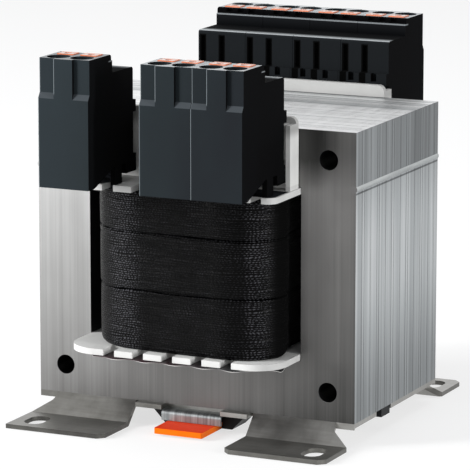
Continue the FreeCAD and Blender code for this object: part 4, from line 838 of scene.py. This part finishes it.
def background_rays(nodes, links):
    """1 for rays that show the background: camera, glossy and transmission rays."""
    rays = nodes.new("ShaderNodeLightPath")
    value = rays.outputs["Is Camera Ray"]
    for output in ("Is Glossy Ray", "Is Transmission Ray"):
        both = nodes.new("ShaderNodeMath")
        both.operation = "MAXIMUM"
        links.new(value, both.inputs[0])
        links.new(rays.outputs[output], both.inputs[1])
        value = both.outputs[0]
    return value


def make_world():
    """White where it is seen, a soft bluish fill where it lights the object."""
    world = bpy.data.worlds.new("studio")
    bpy.context.scene.world = world
    world.use_nodes = True
    nodes = world.node_tree.nodes
    links = world.node_tree.links
    seen = nodes["Background"]
    seen.inputs["Color"].default_value = (1, 1, 1, 1)
    seen.inputs["Strength"].default_value = 1.0
    given = nodes.new("ShaderNodeBackground")
    given.inputs["Color"].default_value = (0.95, 0.97, 1, 1)
    given.inputs["Strength"].default_value = 0.34
    choose = nodes.new("ShaderNodeMixShader")
    links.new(background_rays(nodes, links), choose.inputs[0])
    links.new(given.outputs[0], choose.inputs[1])
    links.new(seen.outputs[0], choose.inputs[2])
    links.new(choose.outputs[0], nodes["World Output"].inputs[0])


def make_floor():
    """Plain floor just under the feet: white where it is seen, grey in the light to keep the shadow."""
    reach = 6.0
    mesh = bpy.data.meshes.new("floor")
    mesh.from_pydata([(-reach, -reach, 0), (reach, -reach, 0), (reach, reach, 0), (-reach, reach, 0)], [],
                     [(0, 1, 2, 3)])
    floor = bpy.data.objects.new("floor", mesh)
    bpy.context.scene.collection.objects.link(floor)
    floor.location.z = -0.2 * MM
    material = bpy.data.materials.new("floor_white")
    material.use_nodes = True
    nodes = material.node_tree.nodes
    links = material.node_tree.links
    nodes.remove(nodes["Principled BSDF"])
    base = nodes.new("ShaderNodeBsdfDiffuse")
    base.inputs["Color"].default_value = (0.35, 0.35, 0.35, 1)
    glow = nodes.new("ShaderNodeEmission")
    strength = nodes.new("ShaderNodeMath")
    strength.operation = "MULTIPLY"
    links.new(background_rays(nodes, links), strength.inputs[0])
    strength.inputs[1].default_value = 0.68
    links.new(strength.outputs[0], glow.inputs["Strength"])
    both = nodes.new("ShaderNodeAddShader")
    links.new(base.outputs[0], both.inputs[0])
    links.new(glow.outputs[0], both.inputs[1])
    links.new(both.outputs[0], nodes["Material Output"].inputs[0])
    mesh.materials.append(material)


def add_lamp(name, place, size, power, glossy=True):
    """Area lamp that points at the middle of the part."""
    data = bpy.data.lights.new(name, "AREA")
    data.shape = "RECTANGLE"
    data.size, data.size_y = size
    data.energy = power
    lamp = bpy.data.objects.new(name, data)
    bpy.context.scene.collection.objects.link(lamp)
    lamp.location = place
    aim = Vector((0, 0, 0.05)) - Vector(place)
    lamp.rotation_euler = aim.to_track_quat("-Z", "Y").to_euler()
    lamp.visible_glossy = glossy


def make_camera():
    """The camera that was fitted to the photograph."""
    data = bpy.data.cameras.new("photo_camera")
    data.sensor_width = 36.0
    data.sensor_fit = "HORIZONTAL"
    data.lens = 274.17
    data.clip_end = 30.0
    camera = bpy.data.objects.new("photo_camera", data)
    bpy.context.scene.collection.objects.link(camera)
    camera.location = (0.41537, -0.89608, 0.24537)
    camera.rotation_euler = (math.radians(90 - 11.218), 0, math.radians(24.941))
    bpy.context.scene.camera = camera


bpy.context.scene.view_settings.view_transform = "Standard"
make_world()
make_floor()
add_lamp("top_softbox", (-0.1, 0.25, 1.1), (0.9, 0.9), 3.0, glossy=False)
add_lamp("left_key", (-1.15, -0.85, 0.55), (0.6, 0.9), 25.0, glossy=False)
add_lamp("left_strip", (-1.0, -0.86, 0.3), (0.12, 0.5), 9.0)
add_lamp("right_strip", (1.25, -0.33, 0.3), (0.09, 0.5), 9.0)
make_camera()
